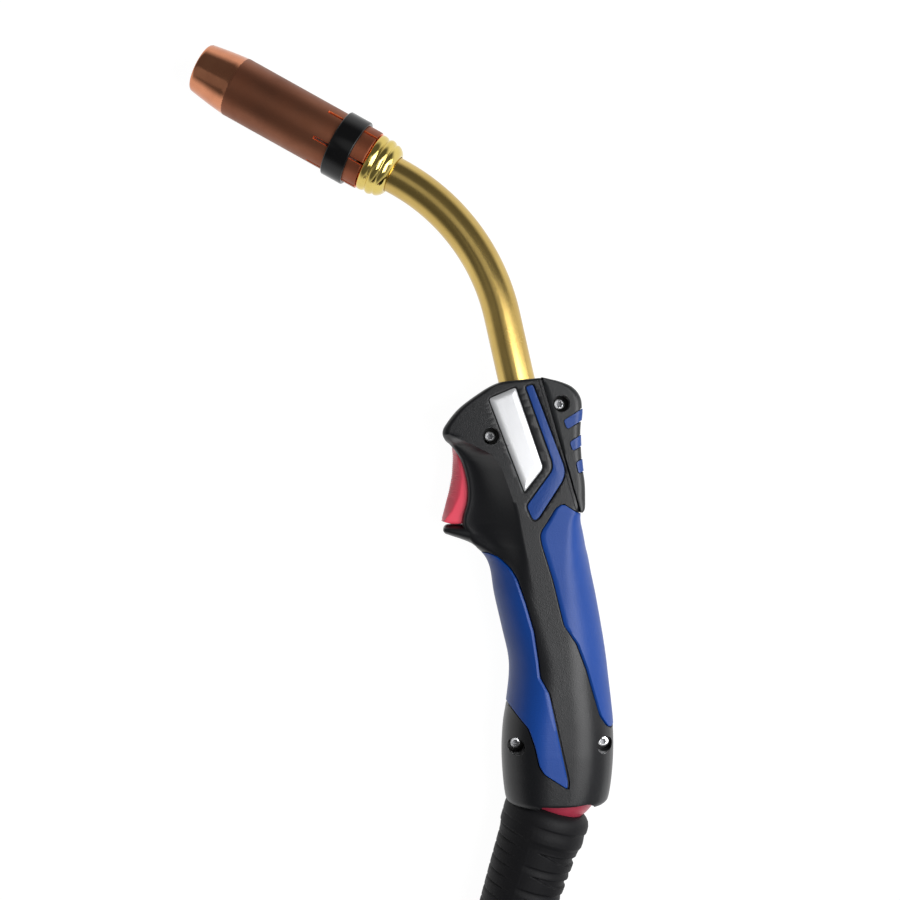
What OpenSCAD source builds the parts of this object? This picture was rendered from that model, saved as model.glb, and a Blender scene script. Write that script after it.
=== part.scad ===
// Hand torch for MIG welding: bent neck with a push-on gas nozzle, two-shell handle with a sprung
// trigger, ball joint, and a cable with a central connector. Millimetres.
// The torch lies on its right side, with the neck towards +Y and the trigger towards -X.
// Every module draws round the mouth of the neck, on the parting plane of the two shells, and
// placed() moves it to the frame of the part.

/* [Handle] */
// Half of the thickness of the head, across its flat sides
head_half = 18.5; // [17.8:0.1:19]
// Half of the thickness of the grip at its waist
waist_half = 17.8; // [17:0.1:18.6]
// Half of the thickness of the lower end, round the ball
end_half = 19.5; // [19.2:0.1:20.5]
// Wall of the shells and of the rear cover
wall = 2.4; // [2:0.1:2.8]
// Depth of the soft grips in the shells
grip_depth = 1.5; // [1:0.1:1.7]
// Gap between an inlay and the wall of its recess
inlay_gap = 0.2; // [0.1:0.05:0.3]
// Depth of the recesses of the strips and the nameplate
strip_depth = 1.2; // [0.8:0.1:1.6]
// How far the strips and the nameplate stand out of the shell
strip_proud = 0.3; // [0.1:0.1:0.6]

/* [Neck] */
// Outer radius of the neck tube
neck_r = 7.5; // [7:0.1:8]
// Wall of the neck tube
neck_wall = 1.2; // [0.8:0.1:1.6]
// Radius of the bend along the middle of the neck
bend_r = 86.2; // [80:0.2:92]
// Angle of the bend, in degrees
bend_angle = 48.25; // [40:0.25:55]
// Lean of the lower end of the neck from the +Y axis, in degrees
neck_lean = 12.6; // [10:0.1:15]
// Straight length of the neck between the handle and the bend
neck_rise = 27.3; // [22:0.1:32]
// Length of the neck inside the handle
neck_seat = 30; // [24:1:34]

/* [Nozzle] */
// Length of the gas nozzle
nozzle_l = 75.4; // [70:0.1:80]
// Outer radius of the gas nozzle
nozzle_r = 12.5; // [12:0.1:13]
// Outer radius of the mouth of the nozzle
mouth_r = 10.1; // [9.5:0.1:10.6]
// Wall of the gas nozzle
nozzle_wall = 1.5; // [1.2:0.1:1.8]
// Length of the tapered front of the nozzle
taper_l = 17; // [14:0.5:20]
// Number of slots in the rear end of the nozzle
slot_count = 6; // [4:1:8]
// Length of the slots
slot_l = 25; // [20:1:30]
// Width of a slot
slot_w = 0.8; // [0.6:0.1:1.2]
// Length of the clamping band
band_l = 9.8; // [8:0.1:12]
// Thickness of the clamping band
band_t = 1.4; // [1:0.1:1.8]
// Radius of the contact tip
tip_r = 5; // [4:0.1:5.5]
// Length of the contact tip
tip_l = 30; // [26:1:32]

/* [Trigger] */
// Half of the width of the trigger
trigger_half = 6.4; // [5.6:0.1:6.6]
// Radius of the trigger pin
pin_r = 1.5; // [1.2:0.1:1.8]

/* [Ball joint and cable] */
// Radius of the ball
ball_r = 17; // [16.6:0.1:17.2]
// Running clearance of the ball and of the pins
run_gap = 0.05; // [0.03:0.01:0.08]
// Lean of the cable from the -Y axis at the handle, in degrees
cable_lean = 17.9; // [14:0.1:18]
// Radius of the cable hose
hose_r = 12; // [11.5:0.1:12]
// Largest radius of the bend sleeve
sleeve_r = 18.1; // [17.5:0.1:18.4]
// Distance from the middle of the ball to the end of the bend sleeve
sleeve_end = 95; // [90:1:100]
// Largest number of grooves round the bend sleeve
groove_count = 15; // [8:1:16]
// Middle radius of the coil of cable
coil_r = 120; // [118:1:122]

/* [Hidden] */
$fn = 64;
eps = 0.01;

// Place of the mouth of the neck in the frame of the part
place = [47.15, 29.22, end_half];

// Outline of the handle, front edge and back edge in pairs, from the neck to the lower end
front_line = [[-8, -1.5], [-14, -4.7], [-23.4, -11.6], [-28.9, -18.2], [-30.3, -21.6],
    [-29.4, -24.4], [-26.7, -27], [-22.8, -33], [-20.5, -41.6], [-20.3, -49], [-21.2, -56.3],
    [-20.1, -62.1], [-16.6, -67.8], [-13.1, -71.5], [-10.7, -77], [-9, -87.5], [-5.8, -101.4],
    [-3.3, -112.5], [-3, -120.3], [-4.1, -130.5], [-5.6, -140], [-6.2, -150.6], [-5.7, -161.3],
    [-4.5, -169.5], [-3, -171]];
back_line = [[10, 1.6], [16.2, 0.2], [24.5, -4.8], [26, -12.1], [25.6, -20.3],
    [25.4, -24], [25.6, -27.6], [26, -33], [25.6, -41.6], [24.9, -49], [24.8, -55.7],
    [26.3, -61.6], [27.8, -67.8], [28.9, -72.2], [30, -78], [32, -87.5], [34.5, -101.4],
    [36.2, -112.5], [37.1, -120.3], [38.3, -130.5], [39.2, -140], [39.4, -150.6], [38.7, -161.3],
    [37.5, -169.5], [36, -171]];
// Back edge of the rear cover
cover_line = [[9.4, 1.5], [16.2, 0.2], [22.3, -2.3], [25.6, -6.3], [26, -12.1], [25.4, -20.3],
    [25.6, -27.6], [26.2, -35], [27.1, -41.6], [27.3, -47.3], [27, -51.8], [25.9, -53.4]];

// The front edge of the shells is narrower round the trigger: half width at distances from the neck
front_half = [[-171, end_half], [-150, end_half], [-95, waist_half], [-87.5, 17.2], [-77, 15],
    [-71.5, 13], [-67.8, 11.5], [-62, 9.5], [-56, 9], [-33, 9], [-27, 10.5], [-24.4, 15],
    [-22, head_half - 0.2], [-20, head_half], [0, head_half]];
// Crease where the flat side of the head begins
crease = [[-95, 9], [-69.7, 2.8], [-53.4, -0.7], [-44.3, -3.8], [-35.8, -6.8], [-30.2, -10.9],
    [-27.1, -17.5], [-23.1, -25.5], [-20, -26], [0, -5]];
// Half thickness along the handle
half_thick = [[-171, end_half - 0.9], [-169.5, end_half], [-150, end_half - 0.1],
    [-125, waist_half + 0.8], [-105, waist_half + 0.1], [-90, waist_half],
    [-75, head_half - 0.3], [-60, head_half], [0, head_half], [1.6, head_half - 0.5]];
// Roundness of the front and back edges
front_round = [[-171, 18], [-125, 17], [-95, 16], [-80, 13], [-70, 8], [-62, 5], [-58, 3], [0, 3]];
back_round = [[-171, 18], [-125, 17], [-95, 15], [-75, 12], [-60, 7], [-52, 3], [0, 3]];
// Edges of the soft grips, as places across the handle at distances from the neck
front_grip_low = [[-162.5, 18.6], [-156.7, 9.5], [-153.7, 7.6], [-145.8, 5.8], [-139.1, 3.4],
    [-130.6, -4.5], [-120, -40]];
front_grip_high = [[-162.5, 19.8], [-159.7, 20.1], [-133, 14.3], [-125.1, 12.5], [-118.9, 8.9],
    [-111.8, 8.1], [-100.7, 6.4], [-89.5, 3.1], [-80, -0.3], [-75.7, -3.1], [-71.3, -8],
    [-69.6, -13]];
back_grip_low = [[-138.6, 37.3], [-134.6, 32.4], [-126.8, 30], [-115.6, 26.7], [-105.5, 22.8],
    [-98.2, 17.7], [-80.2, 13.3], [-65.9, 8.8], [-62.7, 8.3], [-60.7, 8.9], [-56.6, 11.6],
    [-51.6, 14.5], [-49.8, 17.1]];
back_grip_high = [[-60, 60], [-54.3, 24.8], [-49.8, 17.9]];
front_grip_span = [-162.5, -69.6];
back_grip_span = [-138.6, -49.8];

// Point at s on a smooth line through the points p
function spline(p, s) =
    let (i = min(floor(s), len(p) - 2), t = s - i, a = p[max(i - 1, 0)], b = p[i], c = p[i + 1],
        d = p[min(i + 2, len(p) - 1)])
    0.5 * (2 * b + (c - a) * t + (2 * a - 5 * b + 4 * c - d) * t * t
        + (3 * b - a - 3 * c + d) * t * t * t);

// Half thickness of a slice at the distance u from its front edge.
// w is the width, k is [thickness, front half, crease, front round, back round], all already inset.
function rounding(u, r, h) = u >= r ? h : u <= 0 ? 0 : h * sqrt(1 - pow(1 - u / r, 2));
// From the front edge up to the crease: hollow, with a sharp edge at the crease
function scoop(t) = t <= 0 ? 0 : t >= 1 ? 1 : t * t * (1.7 - 0.7 * t);
function height(u, w, k) =
    let (side = k[1] + (k[0] - k[1]) * scoop((u - k[3]) / max(k[2] - k[3], 1)),
        f = max(k[1] - upright(k[3]), 2.5), b = max(k[0] - upright(k[4]), 2.5))
    min(side - f + rounding(u, k[3], f), k[0] - b + rounding(w - u, k[4], b));
// A sharp edge keeps most of its side upright, and a round one only the parting line
function upright(r) = max(0.8, 15.5 - 2.2 * (r - 3));

// A slice of the handle at s: its front point, its direction, its width and its mean height
function slice(front, back, s) =
    let (f = spline(front, s), b = spline(back, s), w = norm(b - f))
    [f, (b - f) / w, w, (f[1] + b[1]) / 2];
// A point of the slice at the distance u from its front edge, the surface moved inwards by inset
function on_slice(c, u, inset) =
    let (y = c[3], w = c[2] - 2 * inset, v = u * w / c[2],
        k = [lookup(y, half_thick) - inset, min(lookup(y, front_half), lookup(y, half_thick)) - inset,
            lookup(y, crease) - c[0][0] - inset, lookup(y, front_round), lookup(y, back_round)],
        p = c[0] + c[1] * (v + inset))
    [p[0], p[1], height(v, w, k)];
function at_mid(c, u, inset) =
    let (p = c[0] + c[1] * (u * (c[2] - 2 * inset) / c[2] + inset)) [p[0], p[1], 0];
function in_span(y, span) = y > span[0] && y < span[1];
function across(c, x) = (x - c[0][0]) / c[1][0];

// Places across a slice where the grips begin and end
function grip_edges(c) =
    let (y = c[3], w = c[2],
        a1 = max(across(c, lookup(y, front_grip_low)), 0.3),
        b1 = max(across(c, lookup(y, front_grip_high)), a1 + 1.4),
        a2 = min(max(across(c, lookup(y, back_grip_low)), b1 + 0.8), w - 2),
        b2 = min(max(across(c, lookup(y, back_grip_high)), a2 + 1.4), w - 0.3))
    [a1, b1, a2, b2];
function steps(a, b, n) = [for (i = [0:n]) a + (b - a) * i / n];
// Denser steps towards a, for a surface that curves away there
function steps_from(a, b, n) = [for (i = [0:n]) a + (b - a) * pow(i / n, 1.6)];
function reverse(list) = [for (i = [len(list) - 1:-1:0]) list[i]];

// Half of a shell's slice as a closed ring: the outside from front to back, then the inside
function shell_ring(s) =
    let (c = slice(front_line, back_line, s), y = c[3], g = grip_edges(c), w = c[2],
        d1 = in_span(y, front_grip_span) ? grip_depth + grip_bed : 0,
        d2 = in_span(y, back_grip_span) ? grip_depth + grip_bed : 0,
        d0 = g[0] < 1 ? d1 : 0, d3 = g[3] > w - 1 ? d2 : 0,
        open = y < -3.5 && y > -143 ? 1 : 0.01, t = inlay_gap)
    concat(
        [at_mid(c, 0, d0)],
        [for (u = steps_from(0, g[0], 2)) on_slice(c, u, d0)],
        [for (u = steps_from(g[0] + t, g[1], grip_steps)) on_slice(c, u, d1)],
        [for (u = steps(g[1] + t, g[2], 3)) on_slice(c, u, 0)],
        [for (u = reverse(steps_from(g[3], g[2] + t, grip_steps))) on_slice(c, u, d2)],
        [for (u = reverse(steps_from(w, g[3] + t, 2))) on_slice(c, u, d3)],
        [at_mid(c, w, d3)],
        [at_mid(c, w, wall)],
        [for (u = reverse(steps(0, w, 8))) let (p = on_slice(c, u, wall)) [p[0], p[1], p[2] * open]],
        [at_mid(c, 0, wall)]);
grip_steps = 6;
grip_bed = 0.35;
shell_stations = [for (i = [0:1:9]) i, 9.1, 9.2, 9.5, 9.7, 9.8, for (i = [10:1:12]) i, 12.45, 12.6,
    for (i = [13:0.5:19]) i, 19.1, 19.5, 19.8, 19.9, 20.5, 21, 21.5, 22, 22.2, 22.6, 23, 24];

// A closed solid through rings of the same number of points. A ring's first points, out of them,
// run along its outside and the rest run back along its inside, which the two end faces join.
module loft(rings, out) {
    n = len(rings[0]);
    m = len(rings);
    function back(j) = n - 1 - round(j * (n - out - 1) / (out - 1));
    strip = [for (j = [0:out - 2])
        each concat([[j, j + 1, back(j)]],
            back(j) == back(j + 1) ? [] : [[j + 1, back(j + 1), back(j)]])];
    polyhedron(
        points = [for (r = rings) for (p = r) p],
        faces = concat(
            [for (t = strip) [t[2], t[1], t[0]]],
            [for (i = [0:m - 2]) for (j = [0:n - 1]) let (k = (j + 1) % n)
                each [[i * n + j, (i + 1) * n + k, (i + 1) * n + j],
                    [i * n + j, i * n + k, (i + 1) * n + k]]],
            [for (t = strip) [t[0], t[1], t[2]] + [1, 1, 1] * (m - 1) * n]),
        convexity = 6);
}

module placed() { translate(place) children(); }
// The neck's lower end: its axis is +Y of this frame
module on_neck() { rotate([0, 0, neck_lean]) children(); }
module along_y(y = 0) { translate([0, y, 0]) rotate([-90, 0, 0]) children(); }

bend_start = neck_rise;
// The upper, straight end of the neck: its axis is +Y of this frame, away from the handle
module on_nozzle_axis() {
    on_neck() translate([-bend_r, bend_start, 0]) rotate([0, 0, bend_angle])
        translate([bend_r, 0, 0]) children();
}
// Points along the middle of the neck, from y0 at its lower end to y1 past the bend
function leaned(x, y) =
    [x * cos(neck_lean) - y * sin(neck_lean), x * sin(neck_lean) + y * cos(neck_lean), 0];
function on_bend(a, y) =
    leaned(bend_r * (cos(a) - 1) - y * sin(a), bend_start + bend_r * sin(a) + y * cos(a));
function neck_route(y0, y1) = concat([leaned(0, y0)],
    [for (i = [0:8]) on_bend(i * bend_angle / 8, 0)], [on_bend(bend_angle, y1)]);

// Places of the screws, which stand on the parting plane
cover_screw = [16.9, -10.1];
head_screw = [-11, -23];
end_screws = [[-0.8, -147], [34.7, -146.4]];
shell_screws = concat([head_screw], end_screws);
screw_r = 1.5;
screw_head_r = 2.1;
screw_sink_r = 3.4;
screw_seat = 4.4;
screw_head_h = 2;
boss_r = 4.2;

ball = [16.8, -163.6, 0];
// The cable's axis is +Y of this frame, away from the handle
module on_cable() { translate(ball) rotate([0, 0, 180 - cable_lean]) children(); }

// The trigger turns on a pin in the head
trigger_pivot = [-22.3, -28.2];
trigger_slot = trigger_half + 0.4;
pin_l = 26;

// Seam between the shells and the rear cover, a straight line down the flat sides
seam_top = [9.2, -1.2];
seam_end = [24.1, -52.9];
function seam_x(y) = seam_top[0] + (seam_end[0] - seam_top[0]) * (seam_top[1] - y) / (seam_top[1] - seam_end[1]);
seam_gap = 0.15;
cover_floor = -53.6;

nameplate_outline = [[-11.9, -8.2], [-1.4, -3.7], [9.5, -35.7], [2.2, -45.1]];
chevron_outline = [[2.6, -3.4], [5.4, -2.6], [17.9, -35.4], [18, -38.2], [17, -41], [7.6, -55.6],
    [6.2, -56.3], [5.2, -55.6], [3.4, -51.6], [3.4, -50.2], [12.8, -37.2], [13.4, -35.4], [13.2, -33]];
stripe_outlines = [
    [[17.7, -16.8], [26.6, -11.3], [26.6, -15.7], [19.1, -20.3]],
    [[20.1, -25.4], [26.6, -21.3], [26.6, -25.7], [21.3, -28.9]],
    [[22.6, -33.4], [27.2, -31.2], [27.2, -36], [23.6, -37.8]]];

// What the two shells have in common, drawn for the left one
module shell_body() {
    difference() {
        union() {
            loft([for (s = shell_stations) shell_ring(s)], len(shell_ring(0)) - 11);
            guard_lip();
        }
        // the room of the rear cover
        linear_extrude(height = 60, center = true) polygon([
            [seam_x(3) - seam_gap, 3], [40, 3], [40, cover_floor - seam_gap],
            [seam_x(cover_floor) - seam_gap, cover_floor - seam_gap]]);
        // the slot of the trigger
        translate([-34, -58.9, -trigger_slot]) cube([22.5, 34.4, 2 * trigger_slot]);
        // the mouth of the neck
        on_neck() along_y(-8) cylinder(r = neck_r + run_gap, h = 20);
        // the seat of the ball and the mouth round the bend sleeve
        translate(ball) sphere(r = ball_r + run_gap);
        translate(ball) along_y(6) cylinder(r = 12.6, h = 20);
        translate(ball) rotate([90, 0, 0]) cylinder(r1 = mouth_r1, r2 = mouth_r2, h = 10);
        // the rim gives way to the bend sleeve where it leans to the front and to the back
        for (lean = [-cable_lean, cable_lean]) translate(ball) rotate([0, 0, 180 + lean])
            turned([[0, 9.8], [15.6, 9.8], [17.3, 11.2], [sleeve_r + 0.1, 12.9],
                [sleeve_r + 0.4, 15], [sleeve_r + 0.4, 26], [0, 26]]);
        strip_room(chevron_outline);
    }
}
// Mouth of the handle round the bend sleeve, at the middle of the ball and 10 mm below
mouth_r1 = 13.6;
mouth_r2 = 21.8;

// Thin lip below the trigger
lip_half = 8.6;
lip_outline = [[-22, -59.7], [-28.6, -59.7], [-29.8, -60.3], [-30.1, -61.3], [-29.6, -62.4],
    [-28.5, -63.2], [-23.2, -64.7], [-18.2, -66.8], [-15.5, -66], [-17.5, -60.5]];
module guard_lip() {
    linear_extrude(height = lip_half) polygon(lip_outline);
}
// Recess of a strip in the flat side
module strip_room(outline) {
    translate([0, 0, head_half - strip_depth]) linear_extrude(height = 10)
        offset(delta = inlay_gap) polygon(outline);
}
module strip(outline) {
    translate([0, 0, head_half - strip_depth])
        linear_extrude(height = strip_depth + strip_proud) polygon(outline);
}

// What stands up inside a shell: bosses, the saddles of the neck socket and the pins' bearings
module shell_bosses() {
    for (p = shell_screws) translate([p[0], p[1], 0]) cylinder(r = boss_r, h = boss_top);
    translate([trigger_pivot[0], trigger_pivot[1], trigger_slot]) cylinder(r = 3, h = 9);
    for (y = saddles) on_neck() difference() {
        translate([-11, y, 0.5]) cube([20, saddle_t, boss_top]);
        along_y(y - 1) cylinder(r = socket_r + run_gap, h = saddle_t + 2);
    }
    for (p = switch_pegs) translate([p[0], p[1], switch_half + run_gap])
        cylinder(r = 2.4, h = p[2] - switch_half);
    // the ear of the cover's screw, on a web from the flat side
    translate([cover_screw[0], cover_screw[1], 0]) cylinder(r = 3.2, h = screw_seat);
    difference() {
        union() {
            translate([6, cover_screw[1] - saddle_t / 2, 0.5]) cube([10, saddle_t, screw_seat - 0.5]);
            translate([6, cover_screw[1] - saddle_t / 2, 0.5]) cube([5.4, saddle_t, boss_top]);
        }
        on_neck() along_y(-20) cylinder(r = neck_r + 0.3, h = 20);
    }
}
boss_top = head_half - wall + 0.6;
saddles = [-17, -34];
saddle_t = 2.2;

// One shell, drawn as the left one; the heads of the screws are sunk in the left one only
module shell(sunk) {
    difference() {
        union() {
            shell_body();
            shell_bosses();
        }
        for (p = concat(shell_screws, [cover_screw]))
            translate([p[0], p[1], -1]) cylinder(r = screw_r + run_gap, h = 12);
        if (sunk) for (p = shell_screws)
            translate([p[0], p[1], screw_seat]) cylinder(r = screw_sink_r, h = 30);
        translate([trigger_pivot[0], trigger_pivot[1], -1])
            cylinder(r = pin_r + run_gap, h = pin_l / 2 + 1);
        if (sunk) strip_room(nameplate_outline);
    }
}
module handle_shell_left() {
    color([0.13, 0.13, 0.14]) placed() shell(true);
}
module handle_shell_right() {
    color([0.13, 0.13, 0.14]) placed() mirror([0, 0, 1]) shell(false);
}

// A ring of the rear cover: outside from the seam round the back to the other seam, then inside
cover_round = 3;
cover_closed = [1, 9];
function cover_height(u, w, h) =
    let (r = min(cover_round, w * 0.8))
    h - r + (u >= w - r ? r * sqrt(max(0, 1 - pow((u - w + r) / r, 2))) : r);
function cover_ring(s) =
    let (b = spline(cover_line, s), y = b[1], x = seam_x(y), w = b[0] - x, n = 5,
        h = lookup(y, half_thick), hollow = s > cover_closed[0] && s < cover_closed[1],
        v = hollow ? w - wall : w / 2,
        out = [for (u = reverse(steps_from(w, 0, n))) [x + u, y, cover_height(u, w, h)]],
        ins = [for (u = reverse(steps_from(v, 0, n)))
            [x + u, y, cover_height(u, v, h - wall) * (hollow ? 1 : 0.02)]])
    concat(out, [for (p = reverse(out)) [p[0], p[1], -p[2]]],
        [for (p = ins) [p[0], p[1], -p[2]]], reverse(ins));
module rear_cover() {
    color([0.15, 0.15, 0.16]) placed() difference() {
        union() {
            loft([for (s = [0:0.5:len(cover_line) - 1]) cover_ring(s)], 12);
            translate([cover_screw[0], cover_screw[1], screw_seat + run_gap])
                cylinder(r = boss_r, h = boss_top - screw_seat);
        }
        translate([cover_screw[0], cover_screw[1], cover_seat]) cylinder(r = screw_sink_r, h = 30);
        translate([cover_screw[0], cover_screw[1], 0]) cylinder(r = screw_r + run_gap, h = 30);
        for (o = stripe_outlines) for (side = [0, 1]) mirror([0, 0, side]) strip_room(o);
    }
}
cover_seat = screw_seat + 1.8;

// A point on the slightly bulging side of a grip, a third of the way from a to b, away from inner
function side_point(a, b, inner) = (2 * a + b) / 3 + 0.04 * unit(a - inner);
// A soft grip: a layer of the handle's surface between two of its edges
function grip_ring(s, k) =
    let (c = slice(front_line, back_line, s), g = grip_edges(c), w = c[2], t = inlay_gap, n = grip_steps,
        front = k == 0 && g[0] < 0.31, back = k == 2 && g[3] > w - 0.31,
        from = front ? 0 : g[k] + 2 * t, to = back ? w : g[k + 1] - t,
        us = k == 0 ? steps_from(from, max(to, from + 0.6), n)
            : reverse(steps_from(to, min(from, to - 0.6), n)),
        out = [for (u = us) on_slice(c, u, 0)], ins = [for (u = us) on_slice(c, u, grip_depth)],
        o1 = front ? at_mid(c, 0, 0) : side_point(out[0], ins[0], out[1]),
        i1 = front ? at_mid(c, 0, grip_depth) : side_point(ins[0], out[0], out[1]),
        o2 = back ? at_mid(c, w, 0) : side_point(out[n], ins[n], out[n - 1]),
        i2 = back ? at_mid(c, w, grip_depth) : side_point(ins[n], out[n], out[n - 1]))
    concat([o1], out, [o2, i2], reverse(ins), [i1]);
front_grip_stations = [12.6, for (i = [13:0.5:19]) i, 19.1, 19.5, 19.8, 19.9, 20.5, 21, 21.5, 22];
back_grip_stations = [9.2, 9.5, 9.7, 9.8, 10, 11, 12, 12.45, 12.6, for (i = [13:0.5:19]) i, 19.1, 19.5,
    19.8];
module front_grip() {
    loft([for (s = front_grip_stations) grip_ring(s, 0)], 9);
}
module back_grip() {
    loft([for (s = back_grip_stations) grip_ring(s, 2)], 9);
}
module front_grip_left() {
    color([0.12, 0.25, 0.62]) placed() front_grip();
}
module front_grip_right() {
    color([0.12, 0.25, 0.62]) placed() mirror([0, 0, 1]) front_grip();
}
module back_grip_left() {
    color([0.12, 0.25, 0.62]) placed() back_grip();
}
module back_grip_right() {
    color([0.12, 0.25, 0.62]) placed() mirror([0, 0, 1]) back_grip();
}

module nameplate() {
    color([0.8, 0.8, 0.82]) placed() strip(nameplate_outline);
}
module chevron_strip_left() {
    color([0.12, 0.25, 0.62]) placed() strip(chevron_outline);
}
module chevron_strip_right() {
    color([0.12, 0.25, 0.62]) placed() mirror([0, 0, 1]) strip(chevron_outline);
}
// The stripes end where the back of the cover curves away
module cover_stripes() {
    color([0.12, 0.25, 0.62]) placed() for (o = stripe_outlines) for (side = [0, 1])
        mirror([0, 0, side]) intersection() {
            strip(o);
            translate([0, -60, 0]) cube([stripe_end, 60, 30]);
        }
}
stripe_end = 25.2;

module screw(p, seat) {
    translate([p[0], p[1], seat]) difference() {
        cylinder(r = screw_head_r, h = screw_head_h);
        translate([0, 0, screw_head_h - 1]) cylinder(r = 1, h = 2, $fn = 6);
    }
    translate([p[0], p[1], seat - screw_l]) cylinder(r = screw_r, h = screw_l);
}
screw_l = 14;
module housing_screws() {
    color([0.7, 0.7, 0.72]) placed() {
        for (p = shell_screws) screw(p, screw_seat);
        screw(cover_screw, cover_seat);
    }
}

// Neck: lengths along the straight upper end are measured from the end of the bend
mouth_at = 92.5;
nozzle_rear = mouth_at - nozzle_l;
bore_r = nozzle_r - nozzle_wall;
module neck_tube() {
    bore = neck_r - neck_wall;
    color([0.72, 0.6, 0.3]) placed() on_neck() {
        along_y(-neck_seat) linear_extrude(height = bend_start + neck_seat) difference() {
            circle(r = neck_r);
            circle(r = bore);
        }
        translate([-bend_r, bend_start, 0]) rotate_extrude(angle = bend_angle + tuck_angle)
            translate([bend_r, 0]) difference() {
                circle(r = neck_r);
                circle(r = bore);
            }
    }
}
// The bend of the tube ends inside the fitting
tuck_angle = 3.4;
fitting_from = 3.6;
inner_r = 4.5;
inner_wall = 0.8;
liner_r = 2.4;
liner_bore = 1.4;
holder_at = mouth_at - 42;
module inner_tube() {
    color([0.7, 0.45, 0.3]) placed()
        pipe(neck_route(2 - neck_seat, holder_at - 14), inner_r, inner_r - inner_wall, 16);
}
module wire_liner() {
    color([0.5, 0.5, 0.52]) placed()
        pipe(neck_route(-neck_seat - 20, holder_at - 1), liner_r, liner_bore, 12);
}
// A solid of revolution about +Y from pairs of radius and distance
module turned(profile) {
    rotate([-90, 0, 0]) rotate_extrude() polygon(profile);
}
module nozzle_fitting() {
    color([0.8, 0.68, 0.35]) placed() on_nozzle_axis() turned([
        [inner_r + run_gap, 5.6], [neck_r + 0.3, 5.6], [neck_r + 0.3, fitting_from],
        [neck_r + 1.2, fitting_from],
        [10.2, 5.2], [11.4, 6.6], [11.6, 7.6], [11.3, 8.6], [11.9, 9.4], [12.1, 10.6], [11.7, 11.9],
        [11.1, 12.6], [11.5, 13.3], [12.2, 14.4], [12.3, 15.6], [12, 16.7],
        [11.2, 16.9], [bore_r - 2, 16.9], [bore_r - 2, fitting_l], [inner_r + run_gap, fitting_l]]);
}
fitting_l = 24;
module nozzle_insulator() {
    color([0.25, 0.2, 0.18]) placed() on_nozzle_axis() turned([
        [bore_r - 2, 17.1], [bore_r - run_gap, 17.1], [bore_r - run_gap, insulator_end - 1],
        [bore_r - 1, insulator_end], [diffuser_r, insulator_end], [diffuser_r, fitting_l + 0.2],
        [bore_r - 2, fitting_l + 0.2]]);
}
insulator_end = 42;
diffuser_r = 7.6;
diffuser_end = holder_at;
module gas_diffuser() {
    color([0.75, 0.62, 0.3]) placed() on_nozzle_axis() difference() {
        turned([[inner_r + run_gap, fitting_l + 0.2], [diffuser_r, fitting_l + 0.2],
            [diffuser_r, diffuser_end - 1], [diffuser_r - 1, diffuser_end],
            [holder_bore, diffuser_end], [holder_bore, holder_at - 14], [inner_r + run_gap, holder_at - 14]]);
        for (a = [0:45:315]) rotate([0, a, 0]) translate([0, diffuser_end - 4.5, 0])
            cylinder(r = 0.9, h = 20);
    }
}
holder_bore = 4.7;
module tip_holder() {
    color([0.72, 0.5, 0.32]) placed() on_nozzle_axis() turned([
        [liner_r + run_gap, holder_at - 13.9], [holder_bore - run_gap, holder_at - 13.9],
        [holder_bore - run_gap, holder_at], [6, holder_at], [6, holder_at + 9], [5.6, holder_at + 9.4],
        [tip_r - 1.4, holder_at + 9.4], [tip_r - 1.4, holder_at + 1], [liner_r + run_gap, holder_at + 1]]);
}
tip_from = holder_at + 9.5;
module contact_tip() {
    color([0.72, 0.42, 0.28]) placed() on_nozzle_axis() turned([
        [wire_bore, tip_from - 7], [tip_r - 1.45, tip_from - 7], [tip_r - 1.45, tip_from],
        [tip_r, tip_from], [tip_r, tip_from + tip_l - 8], [tip_r - 1.6, tip_from + tip_l - 0.5],
        [tip_r - 2.2, tip_from + tip_l], [wire_bore, tip_from + tip_l]]);
}
wire_bore = 0.6;
module gas_nozzle() {
    end_in = mouth_r - 1.2;
    color([0.5, 0.3, 0.22]) placed() on_nozzle_axis() difference() {
        turned([[bore_r, nozzle_rear], [nozzle_r - 0.2, nozzle_rear], [nozzle_r, nozzle_rear + 0.4],
            [nozzle_r, mouth_at - taper_l], [nozzle_r - 0.35, mouth_at - taper_l * 0.72],
            [nozzle_r - 0.9, mouth_at - taper_l * 0.4], [nozzle_r - 1.5, mouth_at - taper_l * 0.18],
            [mouth_r + 0.2, mouth_at - 0.3], [mouth_r - 0.2, mouth_at],
            [end_in, mouth_at], [end_in, mouth_at - 2], [bore_r - 1.4, mouth_at - taper_l * 0.4],
            [bore_r, mouth_at - taper_l - 3]]);
        for (i = [0:slot_count - 1]) rotate([0, slot_turn + i * 360 / slot_count, 0])
            translate([-slot_w / 2, nozzle_rear - 1, 0]) cube([slot_w, slot_l + 1, 20]);
    }
}
slot_turn = 6;
band_from = nozzle_rear + 4.9;
module nozzle_band() {
    color([0.05, 0.05, 0.05]) placed() on_nozzle_axis() turned([
        [nozzle_r, band_from], [nozzle_r + band_t - 0.3, band_from], [nozzle_r + band_t, band_from + 0.3],
        [nozzle_r + band_t, band_from + band_l - 0.3], [nozzle_r + band_t - 0.3, band_from + band_l],
        [nozzle_r, band_from + band_l]]);
}

// Inside the handle
socket_r = 9.6;
socket_from = -14.5;
module neck_socket() {
    color([0.6, 0.6, 0.62]) placed() on_neck() difference() {
        along_y(-neck_seat - 8) cylinder(r = socket_r, h = neck_seat + 8 + socket_from);
        along_y(-neck_seat) cylinder(r = neck_r, h = neck_seat);
        along_y(-neck_seat - 9) cylinder(r = liner_r + run_gap, h = 12);
    }
}
coupling_r = 7.6;
coupling_l = 20;
module cable_coupling() {
    color([0.75, 0.62, 0.3]) placed() on_neck() difference() {
        along_y(-neck_seat - 8 - coupling_l) cylinder(r = coupling_r, h = coupling_l);
        along_y(-neck_seat - 9 - coupling_l) cylinder(r = liner_r + run_gap, h = coupling_l + 2);
    }
}
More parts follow.
